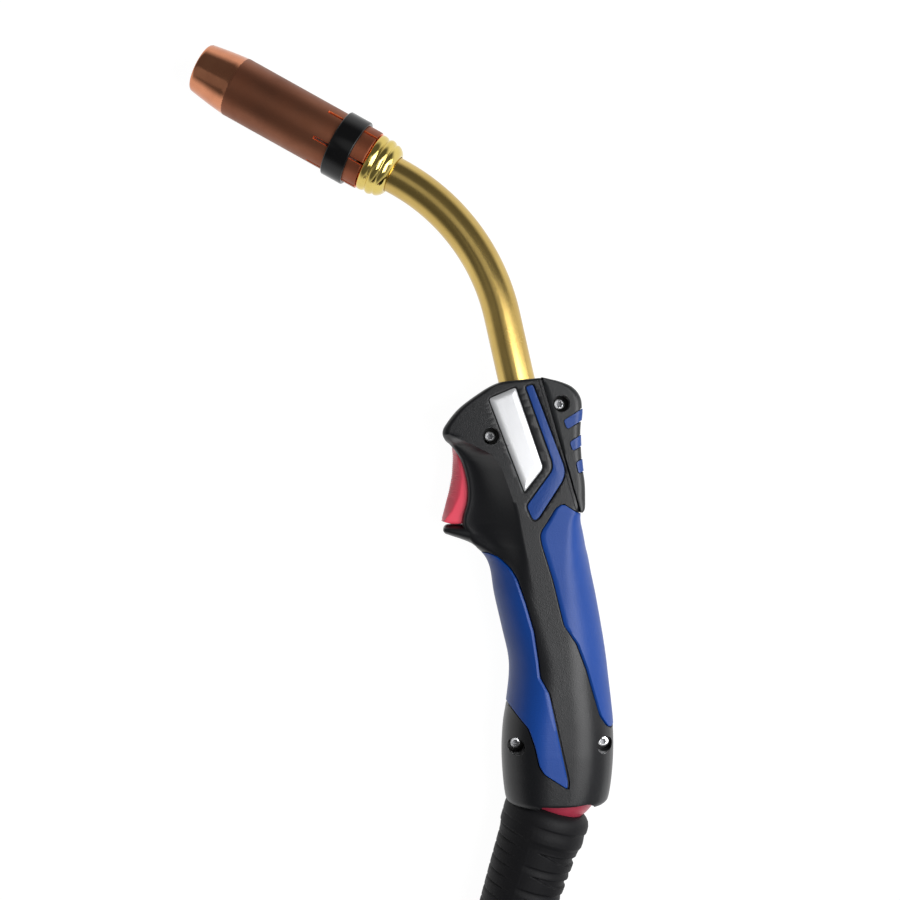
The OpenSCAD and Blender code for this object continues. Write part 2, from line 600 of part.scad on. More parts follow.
// The cable inside the handle, from the coupling to the middle of the ball
inner_cable_r = 5.5;
coupling_foot = [sin(neck_lean), -cos(neck_lean), 0] * (neck_seat + 8 + coupling_l);
inner_route = [coupling_foot, coupling_foot * 1.08, [15.5, -76, 0], [17, -95, 0], [17.2, -115, 0], [17, -140, 0], ball];
function unit(v) = v / norm(v);
// Rings of n points round a route that lies nearly flat
function heading(p, i) = unit(p[min(i + 1, len(p) - 1)] - p[max(i - 1, 0)]);
function tube_ring(p, i, r, n) =
    let (d = heading(p, i), side = unit(cross(d, [0, 0, 1])), up = cross(side, d))
    [for (k = [0:n - 1]) p[i] + r * (cos(360 * k / n) * side + sin(360 * k / n) * up)];
module tube(p, r, n) {
    loft([for (i = [0:len(p) - 1]) tube_ring(p, i, r, n)], n / 2);
}
// The same with a bore
module pipe(p, r, bore, n) {
    m = len(p);
    polyhedron(
        points = [for (wall = [r, bore]) for (i = [0:m - 1]) each tube_ring(p, i, wall, n)],
        faces = [for (j = [0:n - 1]) let (k = (j + 1) % n, in = m * n, top = (m - 1) * n)
            each concat(
                [[j, in + j, in + k], [j, in + k, k]],
                [[top + k, in + top + k, in + top + j], [top + k, in + top + j, top + j]],
                [for (i = [0:m - 2]) let (a = i * n + j, b = i * n + k) each [
                    [a, b, b + n], [a, b + n, a + n],
                    [in + b, in + a, in + a + n], [in + b, in + a + n, in + b + n]]])],
        convexity = 6);
}
module inner_cable() {
    color([0.2, 0.2, 0.2]) placed() tube(inner_route, inner_cable_r, 10);
}

// Trigger and switch
trigger_outline = [[-26.6, -26.8], [-26.3, -31.8], [-26.7, -39], [-28.1, -46.3], [-29.9, -53.5],
    [-31, -57.6], [-30.8, -58.4], [-29.8, -58.8], [-26.1, -59.2], [-22.5, -58.7], [-16.4, -57.2],
    [-15.6, -55], [-15.3, -45], [-17, -34], [-18.6, -28], [-19.8, -25.6], [-22.3, -24.9], [-25, -25.3]];
module trigger() {
    color([0.8, 0.15, 0.25]) placed() difference() {
        translate([0, 0, -trigger_half]) linear_extrude(height = 2 * trigger_half)
            polygon(trigger_outline);
        translate([trigger_pivot[0], trigger_pivot[1], -10]) cylinder(r = pin_r + run_gap, h = 20);
        // room for the switch and hollow back
        translate([-22.5, -56, -trigger_half + 2]) cube([10, 8, 2 * trigger_half - 4]);
    }
}
module trigger_pin() {
    color([0.7, 0.7, 0.72]) placed() translate([trigger_pivot[0], trigger_pivot[1], -pin_l / 2])
        cylinder(r = pin_r, h = pin_l);
}
switch_half = 3.2;
switch_pegs = [[-6.5, -42, 15.6], [-6.5, -53, 13.7]];
switch_front = -11;
plunger_y = -43;
plunger_r = 1.1;
module switch_housing() {
    color([0.1, 0.1, 0.1]) placed() difference() {
        translate([switch_front, -57, -switch_half]) cube([8.6, 19, 2 * switch_half]);
        translate([switch_front - 1, plunger_y, 0]) rotate([0, 90, 0])
            cylinder(r = plunger_r + run_gap, h = 7);
    }
}
module switch_plunger() {
    color([0.85, 0.3, 0.2]) placed() translate([-15.2, plunger_y, 0]) rotate([0, 90, 0])
        cylinder(r = plunger_r, h = 7.6);
}

// Ball joint: the hollow ball carries the bend sleeve on a neck
ball_neck_r = 10.8;
ball_neck_end = 30;
module ball_joint() {
    color([0.65, 0.12, 0.2]) placed() on_cable() rotate([-90, 0, 0]) rotate_extrude() difference() {
        union() {
            circle(r = ball_r);
            square([ball_neck_r, ball_neck_end]);
        }
        polygon([[-ball_r - 1, -ball_r - 1], [14.6, -ball_r - 1], [ball_bore, 0],
            [ball_bore, ball_neck_end + 1], [-ball_r - 1, ball_neck_end + 1]]);
    }
}
ball_bore = 7.2;
sleeve_from = 10.8;
sleeve_tip_r = hose_r + 1.2;
groove_pitch = 4.6;
groove_depth = 0.7;
groove_from = 22;
groove_foot = 1.6;
// As many grooves as fit before the rim of the sleeve
grooves = min(groove_count, floor((sleeve_end - 1 - groove_foot - groove_from) / groove_pitch) + 1);
function sleeve_out(t) = sleeve_tip_r + (sleeve_r - sleeve_tip_r) * (sleeve_end - t) / (sleeve_end - 14.8);
module bend_sleeve() {
    color([0.1, 0.1, 0.1]) placed() on_cable() turned(concat(
        [[13.9, sleeve_from], [15.2, sleeve_from], [16.8, sleeve_from + 1.2], [17.8, sleeve_from + 2.6],
            [sleeve_r, sleeve_from + 4], [sleeve_out(18), 18]],
        [for (i = [0:grooves - 1]) let (t = groove_from + i * groove_pitch)
            each [[sleeve_out(t), t], [sleeve_out(t) - groove_depth, t + 0.5],
                [sleeve_out(t) - groove_depth, t + 0.9], [sleeve_out(t), t + groove_foot]]],
        [[sleeve_tip_r, sleeve_end - 0.6], [sleeve_tip_r - 0.5, sleeve_end], [hose_r + 0.3, sleeve_end],
            [hose_r + 0.3, ball_neck_end + 2], [ball_neck_r + run_gap, ball_neck_end + 2],
            [ball_neck_r + run_gap, 14.5]]));
}

// Cable: the hose as it leaves the handle, the coil, and the tail to the connector
floor_z = -end_half;
strap_t = 1.3;
layer_z = [floor_z + strap_t + hose_r, floor_z + strap_t + 3 * hose_r];
function on_cable_axis(t) = ball + t * [-sin(cable_lean), -cos(cable_lean), 0];
// Past the sleeve the hose bends to the lean at which it meets the outer turn of the coil
coil_lean = 40;
hose_bend_r = 160;
function on_hose_bend(a) = on_cable_axis(sleeve_end)
    + hose_bend_r * [cos(a) - cos(cable_lean), sin(cable_lean) - sin(a), 0];
coil_centre = on_hose_bend(coil_lean) + (coil_r + hose_r) * [cos(coil_lean), -sin(coil_lean), 0];
hose_route = [on_cable_axis(ball_neck_end + 3), on_cable_axis(62), on_cable_axis(sleeve_end),
    on_hose_bend(24) + [0, 0, -1], on_hose_bend(30) + [0, 0, -3], on_hose_bend(36) + [0, 0, -5]];
connector_at = [192, -242, floor_z + 21.2];
connector_lean = 180;
function on_connector_axis(t) =
    connector_at + t * [-sin(connector_lean), -cos(connector_lean), 0];
tail_route = [[191.2, -366, layer_z[1] - 0.8], [191.5, -344, 14.4], [191.8, -318, 8.6],
    on_connector_axis(-52) + [0, 0, 2], on_connector_axis(-41), on_connector_axis(-20), connector_at];
module hose() {
    color([0.1, 0.1, 0.1]) placed() tube(hose_route, hose_r, 12);
}
module hose_tail() {
    color([0.1, 0.1, 0.1]) placed() tube(tail_route, hose_r, 12);
}
// Two layers of two turns, tied with two straps
bundle = 4 * hose_r;
module bundle_outline(grow, cut) {
    x0 = coil_r - bundle / 2 - grow;
    x1 = coil_r + bundle / 2 + grow;
    z0 = strap_t - grow;
    z1 = strap_t + bundle + grow;
    polygon([[x0 + cut, z0], [x1 - cut, z0], [x1, z0 + cut], [x1, z1 - cut], [x1 - cut, z1],
        [x0 + cut, z1], [x0, z1 - cut], [x0, z0 + cut]]);
}
module on_coil() { translate([coil_centre[0], coil_centre[1], floor_z]) children(); }
module hose_coil() {
    color([0.1, 0.1, 0.1]) placed() on_coil() rotate_extrude($fn = 96) bundle_outline(0, 5);
}
strap_angles = [-60, 60];
strap_turn = 10;
strap_gap = 0.2;
module coil_strap() {
    color([0.15, 0.15, 0.15]) placed() on_coil() for (a = strap_angles)
        rotate([0, 0, a]) rotate_extrude(angle = strap_turn) difference() {
            bundle_outline(strap_t, 5.4);
            bundle_outline(strap_gap, 5);
        }
}

// Central connector: distances along its axis are measured from the end of the hose
module on_connector() {
    translate(connector_at) rotate([0, 0, 180 - connector_lean]) children();
}
stem_r = 9;
journal_r = 15.5;
nut_r = 21;
plug_pin_r = 5;
plug_pin_l = 24;
plug_face = 50;
contact_r = 1.5;
contact_at = 12;
module connector_sleeve() {
    color([0.1, 0.1, 0.1]) placed() on_connector() turned(concat(
        [[hose_r + 0.3, -38], [hose_r + 1.4, -38]],
        [for (i = [0:5]) let (t = -34 + 5.4 * i, r = hose_r + 1.6 + 0.06 * (t + 38))
            each [[r, t], [r - 0.6, t + 0.6], [r - 0.6, t + 1.2], [r, t + 2]]],
        [[16, -1], [16, 1.9], [hose_r + 0.3, 1.9]]));
}
module connector_housing() {
    color([0.13, 0.13, 0.14]) placed() on_connector() difference() {
        turned([[hose_r + 0.6, 2], [16, 2], [18.6, 6], [18.6, 24], [20, 27], [20, 36], [journal_r, 36],
            [journal_r, plug_face], [stem_r + run_gap, plug_face], [stem_r + run_gap, 44],
            [hose_r + 0.6, 44]]);
        for (side = [-1, 1]) translate([side * contact_at, 0, 0])
            along_y(40) cylinder(r = contact_r + run_gap, h = 20);
    }
}
module connector_plug() {
    color([0.75, 0.62, 0.3]) placed() on_connector() turned([[liner_r + run_gap, 14], [6, 14], [6, 34],
        [stem_r, 34], [stem_r, plug_face + 1], [plug_pin_r, plug_face + 1],
        [plug_pin_r, plug_face + plug_pin_l], [plug_pin_r - 1, plug_face + plug_pin_l + 1],
        [liner_r + run_gap, plug_face + plug_pin_l + 1]]);
}
module connector_nut() {
    flutes = 12;
    color([0.16, 0.16, 0.17]) placed() on_connector() difference() {
        turned([[journal_r + run_gap, 36.3], [nut_r - 1, 36.3], [nut_r, 37.3], [nut_r, 61],
            [nut_r - 1, 62], [17, 62], [17, plug_face + 0.3], [journal_r + run_gap, plug_face + 0.3]]);
        for (i = [0:flutes - 1]) rotate([0, i * 360 / flutes, 0])
            translate([nut_r + 1.6, 0, 0]) along_y(30) cylinder(r = 3, h = 40);
    }
}
module connector_contacts() {
    color([0.8, 0.68, 0.35]) placed() on_connector() for (side = [-1, 1])
        translate([side * contact_at, 0, 0]) along_y(42) cylinder(r = contact_r, h = 18);
}

handle_shell_left();
handle_shell_right();
rear_cover();
nameplate();
front_grip_left();
front_grip_right();
back_grip_left();
back_grip_right();
chevron_strip_left();
chevron_strip_right();
cover_stripes();
housing_screws();
neck_tube();
inner_tube();
wire_liner();
neck_socket();
cable_coupling();
inner_cable();
nozzle_fitting();
nozzle_insulator();
gas_diffuser();
tip_holder();
contact_tip();
gas_nozzle();
nozzle_band();
trigger();
trigger_pin();
switch_housing();
switch_plunger();
ball_joint();
bend_sleeve();
hose();
hose_coil();
hose_tail();
coil_strap();
connector_sleeve();
connector_housing();
connector_plug();
connector_nut();
connector_contacts();
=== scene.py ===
"""Looks of a MIG welding torch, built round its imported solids.

Shapes are worked out in millimetres from the mouth of the neck, on the parting plane of the handle's
shells: X points to the back of the handle, Y up the neck, and Z out of the left side. frame_points()
moves them to the row's frame in metres.
"""
import math

import bmesh
import bpy
import numpy as np
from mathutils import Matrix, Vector


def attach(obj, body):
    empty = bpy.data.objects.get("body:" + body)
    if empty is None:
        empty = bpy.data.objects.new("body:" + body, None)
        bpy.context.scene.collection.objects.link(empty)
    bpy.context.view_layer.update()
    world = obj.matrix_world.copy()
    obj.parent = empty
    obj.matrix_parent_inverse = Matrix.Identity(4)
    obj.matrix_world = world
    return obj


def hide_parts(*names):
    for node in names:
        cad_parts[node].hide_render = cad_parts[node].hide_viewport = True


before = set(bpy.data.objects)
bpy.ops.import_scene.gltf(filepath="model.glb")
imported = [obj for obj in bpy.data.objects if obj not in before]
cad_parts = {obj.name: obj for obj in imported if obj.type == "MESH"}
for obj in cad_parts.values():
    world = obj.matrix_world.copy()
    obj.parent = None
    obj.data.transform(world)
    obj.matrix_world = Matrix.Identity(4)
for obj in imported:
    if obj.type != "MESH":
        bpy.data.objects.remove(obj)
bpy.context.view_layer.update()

MM = 0.001
MOUTH = np.array([47.15, 29.22, 19.5])  # mouth of the neck in the row's frame
FLOOR_Z = -MOUTH[2]
SHARP = 38  # degrees between two faces over which their edge is sharp


# ---------------------------------------------------------------- meshes
def frame_points(points):
    """Row frame in metres = (local millimetres + place of the mouth) / 1000."""
    return (np.asarray(points, float).reshape(-1, 3) + MOUTH) * MM


def circle(count):
    """The angles of that many points round a circle."""
    return np.arange(count) * 2 * math.pi / count


def ring(r, a, centre):
    """A closed line in plan round a centre: its radius r may differ from one angle a to the next."""
    return np.column_stack([r * np.cos(a), r * np.sin(a)]) + centre


def quarter(x):
    """Height of a quarter circle of radius 1: sqrt(1 - (1 - x)^2), with x kept between 0 and 1."""
    return np.sqrt(np.clip(1 - (1 - np.clip(x, 0, 1)) ** 2, 0, 1))


def smooth_step(x):
    """x^2 (3 - 2 x), with x kept between 0 and 1."""
    x = np.clip(x, 0, 1)
    return x * x * (3 - 2 * x)


def grid_faces(rows, cols, wrap_rows=False, wrap_cols=False):
    """Quads of a grid: corner (i, j) has the number i * cols + j, taken modulo where it wraps."""
    i, j = np.meshgrid(np.arange(rows - (not wrap_rows)), np.arange(cols - (not wrap_cols)), indexing="ij")
    down, right = (i + 1) % rows, (j + 1) % cols
    return np.stack([i * cols + j, i * cols + right, down * cols + right, down * cols + j], -1).reshape(-1, 4)


def new_piece(name, points, faces, material=None, smooth=SHARP):
    """A mesh object from local points and a list of face arrays, one array for each count of corners."""
    mesh = bpy.data.meshes.new(name)
    points = frame_points(points)
    sizes = np.concatenate([np.full(len(f), np.shape(f)[1]) for f in faces])
    corners = np.concatenate([np.ravel(f) for f in faces]).astype(np.int32)
    mesh.vertices.add(len(points))
    mesh.vertices.foreach_set("co", points.ravel())
    mesh.loops.add(len(corners))
    mesh.loops.foreach_set("vertex_index", corners)
    mesh.polygons.add(len(sizes))
    mesh.polygons.foreach_set("loop_start", (np.cumsum(sizes) - sizes).astype(np.int32))
    mesh.update(calc_edges=True)
    piece = bpy.data.objects.new(name, mesh)
    bpy.context.scene.collection.objects.link(piece)
    close_up(piece, smooth)
    if material:
        mesh.materials.append(material)
    return piece


def close_up(piece, smooth=SHARP):
    """Merges doubled points, turns the faces outwards and marks edges over the angle smooth as sharp."""
    work = bmesh.new()
    work.from_mesh(piece.data)
    bmesh.ops.remove_doubles(work, verts=work.verts, dist=2e-6)
    bmesh.ops.dissolve_degenerate(work, edges=work.edges, dist=1e-6)
    bmesh.ops.recalc_face_normals(work, faces=work.faces)
    work.to_mesh(piece.data)
    work.free()
    piece.data.shade_smooth()
    piece.data.set_sharp_from_angle(angle=math.radians(smooth))


def rings_piece(name, rings, material=None, smooth=SHARP, looped=False):
    """A skin through closed rings of points, an array (rings, points, 3): with a flat face on each end, or
    looped from the last ring to the first."""
    rows, cols = rings.shape[:2]
    faces = [grid_faces(rows, cols, looped, True)]
    if not looped:
        faces.append(np.array([np.arange(cols)[::-1], np.arange(cols) + (rows - 1) * cols]))
    return new_piece(name, rings, faces, material, smooth)


def layered(name, levels, material=None, smooth=SHARP):
    """A piece through closed lines in plan, given as (line, height)."""
    rings = [np.column_stack([line, np.full(len(line), z)]) for line, z in levels]
    return rings_piece(name, np.stack(rings), material, smooth)


def inset_corners(corners, distance):
    """The corners of a polygon whose sides all move inwards: corner c moves by
    distance (n1 + n2) / (1 + n1 . n2), n1 and n2 being the inward normals of its two sides."""
    corners = np.asarray(corners, float)
    side = unit(np.roll(corners, -1, 0) - corners)
    after = winding(corners) * np.stack([-side[:, 1], side[:, 0]], 1)
    before = np.roll(after, 1, 0)
    return corners + distance * (before + after) / (1 + np.sum(before * after, 1, keepdims=True))


def winding(outline):
    """1 where a closed line runs anticlockwise, else -1: the sign of its area."""
    x, y = outline.T
    return np.sign(np.sum(x * np.roll(y, -1) - np.roll(x, -1) * y))


def rounded(points, radius, steps=4):
    """A closed line whose corners give way to parabolic arcs that start a distance radius from them:
    arc(t) = (1 - t)^2 start + 2 t (1 - t) corner + t^2 end."""
    corner = np.asarray(points, float)
    radius = np.broadcast_to(np.asarray(radius, float).reshape(-1, 1), (len(corner), 1))
    start, end = (corner + way * np.minimum(radius / np.linalg.norm(way, axis=1, keepdims=True), 0.45)
                  for way in (np.roll(corner, 1, 0) - corner, np.roll(corner, -1, 0) - corner))
    t = np.linspace(0, 1, steps + 1)[None, :, None]
    arcs = (1 - t) ** 2 * start[:, None] + 2 * t * (1 - t) * corner[:, None] + t ** 2 * end[:, None]
    return arcs.reshape(-1, 2)


def moved_in(outline, distance):
    """A closed line moved inwards: each point goes along the mean normal of its two sides."""
    outline = np.asarray(outline, float)
    side = np.roll(outline, -1, 0) - np.roll(outline, 1, 0)
    normal = np.stack([-side[:, 1], side[:, 0]], 1)
    normal /= np.maximum(np.linalg.norm(normal, axis=1, keepdims=True), 1e-9)
    return outline + winding(outline) * distance * normal


def unit(vector):
    """The vector, or each row of an array of them, at the length 1."""
    return vector / np.linalg.norm(vector, axis=-1, keepdims=True)


class Axis:
    """A straight axis on the parting plane, turned by an angle about Z: a point at the distance t along it,
    at the radius r and the angle a, is origin + t along + r (cos a side + sin a Z)."""

    def __init__(self, origin, degrees):
        self.origin = np.array([*origin, 0.0][:3])
        self.degrees = degrees
        c, s = math.cos(math.radians(degrees)), math.sin(math.radians(degrees))
        self.turn = np.array([[c, -s, 0], [s, c, 0], [0, 0, 1]])

    def at(self, r, a, t):
        r, a, t = np.broadcast_arrays(r, a, t)
        return np.stack([r * np.cos(a), t, r * np.sin(a)], -1) @ self.turn.T + self.origin


def turned(name, axis, profile, paint, around=96, smooth=SHARP, radius_of=None):
    """A solid of revolution from a closed profile of (radius, distance) pairs. radius_of(r, a, t) may vary
    the radius round the axis."""
    r, t = np.transpose(profile)[..., None]
    a = circle(around)[None]
    points = axis.at(radius_of(r, a, t) if radius_of else r, a, t)
    return rings_piece(name, points, PAINTS[paint], smooth, looped=True)


def carve(piece, cutters, operation="DIFFERENCE", smooth=SHARP):
    """Applies a boolean with all the cutters, and deletes them."""
    group = bpy.data.collections.new("cutters")
    bpy.context.scene.collection.children.link(group)
    for cutter in cutters:
        bpy.context.scene.collection.objects.unlink(cutter)
        group.objects.link(cutter)
    change = piece.modifiers.new("carve", "BOOLEAN")
    change.operation = operation
    change.solver = "MANIFOLD"
    if len(cutters) == 1:
        change.object = cutters[0]
    else:
        change.operand_type = "COLLECTION"
        change.collection = group
    done = bpy.data.meshes.new_from_object(piece.evaluated_get(bpy.context.evaluated_depsgraph_get()))
    done.name = piece.name
    piece.modifiers.clear()
    piece.data = done
    for cutter in cutters:
        bpy.data.objects.remove(cutter)
    bpy.data.collections.remove(group)
    close_up(piece, smooth)
    return piece


def merged(name, pieces):
    """One object from several."""
    with bpy.context.temp_override(active_object=pieces[0], selected_editable_objects=pieces,
                                   selected_objects=pieces):
        bpy.ops.object.join()
    pieces[0].name = name
    return pieces[0]


def face_centres(piece):
    """The middles of the faces in local millimetres."""
    centres = np.empty(len(piece.data.polygons) * 3)
    piece.data.polygons.foreach_get("center", centres)
    return centres.reshape(-1, 3) / MM - MOUTH


def painted(piece, *paints, skin=0):
    """The piece with these finishes, each face with the one whose number is its own in skin."""
    piece.data.materials.clear()
    for paint in paints:
        piece.data.materials.append(PAINTS[paint])
    numbers = np.broadcast_to(skin, len(piece.data.polygons)).astype(np.int32)
    piece.data.polygons.foreach_set("material_index", numbers)
    return piece


def stand_for(piece, body, slot, *nodes):
    """The piece rides on the body and hides the CAD nodes that it stands for; slot is not used."""
    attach(piece, body)
    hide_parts(*nodes)
    return piece


# ---------------------------------------------------------------- nodes
def feed(tree, node, inputs):
    """Gives each named input of a node a value or another node's output."""
    for key, value in inputs.items():
        if isinstance(value, bpy.types.NodeSocket):
            tree.links.new(value, node.inputs[key])
        else:
            node.inputs[key].default_value = value


def adder(tree, empty=False):
    """A function that adds a node to the tree, makes its settings, feeds its inputs and returns it."""
    if empty:
        tree.nodes.clear()

    def add(kind, inputs, **settings):
        node = tree.nodes.new(kind if kind.startswith("NodeGroup") else "ShaderNode" + kind)
        for key, value in settings.items():
            setattr(node, key, value)
        feed(tree, node, inputs)
        return node
    return add


def larger(add, first, second):
    return add("Math", {0: first, 1: second}, operation="MAXIMUM").outputs[0]


def seen_directly(add):
    """1 for rays from the camera, for gloss and for glass, else 0; and the camera's own rays alone."""
    rays = add("LightPath", {}).outputs
    camera = rays["Is Camera Ray"]
    return larger(add, larger(add, camera, rays["Is Glossy Ray"]), rays["Is Transmission Ray"]), camera


# ---------------------------------------------------------------- camera and light
VIEW_CENTRE = (-27.3, -28.5)  # point of the parting plane that the camera looks at
VIEW_DISTANCE = 525.0  # from the camera to the parting plane
VIEW_WIDTH = 900 * 0.41  # millimetres of the parting plane across the picture
ROOM_LEVEL, CEILING_LEVEL, ZENITH_LEVEL = 0.2, 0.13, 0.6
FLOOR_GLOW, FLOOR_HALF, FLOOR_DROP = 0.88, 3000, 0.25


def make_camera():
    """A camera square above the parting plane."""
    camera = bpy.data.objects.new("camera", bpy.data.cameras.new("camera"))
    bpy.context.scene.collection.objects.link(camera)
    camera.location = frame_points([*VIEW_CENTRE, VIEW_DISTANCE])[0]
    camera.data.sensor_width = 36
    camera.data.lens = 36 * VIEW_DISTANCE / VIEW_WIDTH
    camera.data.clip_start = 0.02
    bpy.context.scene.camera = camera


def soft_light(name, place, target, size, watts):
    """A rectangular lamp that faces the target, both in local millimetres."""
    lamp = bpy.data.lights.new(name, "AREA")
    lamp.shape = "RECTANGLE"
    lamp.size, lamp.size_y = size
    lamp.energy = watts
    holder = bpy.data.objects.new(name, lamp)
    bpy.context.scene.collection.objects.link(holder)
    start, end = frame_points([place, target])
    holder.location = start
    holder.rotation_euler = Vector(end - start).to_track_quat("-Z", "Y").to_euler()


def make_room():
    """A room that is white at the level of the floor, greyer above, and paler again right overhead. The
    camera sees it white all over, and it lights the torch at one even level."""
    world = bpy.data.worlds.new("studio")
    bpy.context.scene.world = world
    world.use_nodes = True
    add = adder(world.node_tree, empty=True)
    seen, camera = seen_directly(add)
    up = add("SeparateXYZ", {0: add("TexCoord", {}).outputs["Generated"]}).outputs["Z"]
    wall = add("MapRange", {"Value": up, "From Min": 0.02, "From Max": 0.4, "To Min": 1.0,
                            "To Max": CEILING_LEVEL})
    zenith = add("MapRange", {"Value": up, "From Min": 0.935, "From Max": 0.975, "To Max": ZENITH_LEVEL})
    level = larger(add, larger(add, wall.outputs[0], zenith.outputs[0]), camera)
    strength = add("Mix", {"Factor": seen, "A": ROOM_LEVEL, "B": level}, data_type="FLOAT")
    room = add("Background", {"Color": (1, 1, 1, 1), "Strength": strength.outputs["Result"]})
    add("OutputWorld", {0: room.outputs[0]})


def make_floor():
    """A pale floor that shows white to the camera and to gloss, and keeps a part of its shadows."""
    material = bpy.data.materials.new("floor")
    material.use_nodes = True
    add = adder(material.node_tree, empty=True)
    share = add("Math", {0: seen_directly(add)[0], 1: FLOOR_GLOW}, operation="MULTIPLY")
    paint = add("BsdfDiffuse", {"Color": (0.9, 0.9, 0.9, 1)})
    glow = add("Emission", {"Strength": 1.1})
    mix = add("MixShader", {0: share.outputs[0], 1: paint.outputs[0], 2: glow.outputs[0]})
    add("OutputMaterial", {0: mix.outputs[0]})
    corners = [(x * FLOOR_HALF, y * FLOOR_HALF, FLOOR_Z - FLOOR_DROP)
               for x, y in ((-1, -1), (1, -1), (1, 1), (-1, 1))]
    floor = new_piece("floor", corners, [np.array([[0, 1, 2, 3]])], material)


bpy.context.scene.view_settings.view_transform = "Standard"
make_camera()
soft_light("key", (264, -112, 436), (15, -95, 0), (0.4, 0.4), 2.8)
soft_light("right_box", (560, 60, 430), (0, 0, 0), (0.25, 0.7), 1.8)
soft_light("left_fill", (-560, 60, 330), (0, -20, 0), (0.3, 0.8), 0.12)
make_room()
make_floor()


# ---------------------------------------------------------------- finishes
def colour(shown):
    """A colour given as shown on a screen, 0 to 255, as the linear values that nodes take:
    ((c + 0.055) / 1.055) ^ 2.4 above 0.04."""
    shown = np.array(shown) / 255
    linear = np.where(shown > 0.04045, ((shown + 0.055) / 1.055) ** 2.4, shown / 12.92)
    return (*linear, 1.0)


def node_group(name, inputs, outputs):
    """A shader group with sockets given as name: value or kind; returns it, its inputs and its adder."""
    group = bpy.data.node_groups.new(name, "ShaderNodeTree")
    for label, value in inputs.items():
        kind = "Vector" if value is None else "Color" if np.ndim(value) else "Float"
        socket = group.interface.new_socket(label, in_out="INPUT", socket_type="NodeSocket" + kind)
        if value is not None:
            socket.default_value = value
    for label, kind in outputs.items():
        group.interface.new_socket(label, in_out="OUTPUT", socket_type="NodeSocket" + kind)
    return group, group.nodes.new("NodeGroupInput").outputs, adder(group)


def make_drift_group():
    """Colour that drifts slowly between two values, and a mask of the same drift."""
    group, given, add = node_group(
        "colour_drift", {"Vector": None, "Scale": 60.0, "Contrast": 1.0, "Colour": (0.5, 0.5, 0.5, 1),
                         "Other": (0.4, 0.4, 0.4, 1)}, {"Color": "Color", "Mask": "Float"})
    noise = add("TexNoise", {"Vector": given["Vector"], "Scale": given["Scale"], "Detail": 4,
                             "Roughness": 0.55})
    spread = add("MapRange", {"Value": noise.outputs["Fac"], "From Min": 0.3, "From Max": 0.7})
    mask = add("Math", {0: spread.outputs[0], 1: given["Contrast"]}, operation="MULTIPLY").outputs[0]
    mix = add("Mix", {"Factor": mask, "A": given["Colour"], "B": given["Other"]}, data_type="RGBA")
    add("NodeGroupOutput", {"Color": mix.outputs["Result"], "Mask": mask})
    return group


def make_grain_group():
    """Height of a moulded or brushed surface: fine noise plus small cells, and long scratches."""
    group, given, add = node_group(
        "surface_grain", {"Vector": None, "Scale": 2500.0, "Cells": 0.5, "Scratch Vector": None,
                          "Scratches": 0.0}, {"Height": "Float"})
    noise = add("TexNoise", {"Vector": given["Vector"], "Scale": given["Scale"], "Detail": 3})
    cells = add("TexVoronoi", {"Vector": given["Vector"], "Scale": given["Scale"], "Smoothness": 0.6},
                feature="SMOOTH_F1")
    blend = add("Mix", {"Factor": given["Cells"], "A": noise.outputs["Fac"], "B": cells.outputs["Distance"]},
                data_type="FLOAT")
    lines = add("TexNoise", {"Vector": given["Scratch Vector"], "Scale": 1.0, "Detail": 2})
    thin = add("MapRange", {"Value": lines.outputs["Fac"], "From Min": 0.6, "From Max": 0.72})
    cut = add("Math", {0: thin.outputs[0], 1: given["Scratches"]}, operation="MULTIPLY").outputs[0]
    total = add("Math", {0: blend.outputs["Result"], 1: cut}, operation="SUBTRACT")
    add("NodeGroupOutput", {"Height": total.outputs[0]})
    return group


DRIFT = make_drift_group()
GRAIN = make_grain_group()
GRAIN_HEIGHT = 0.0001


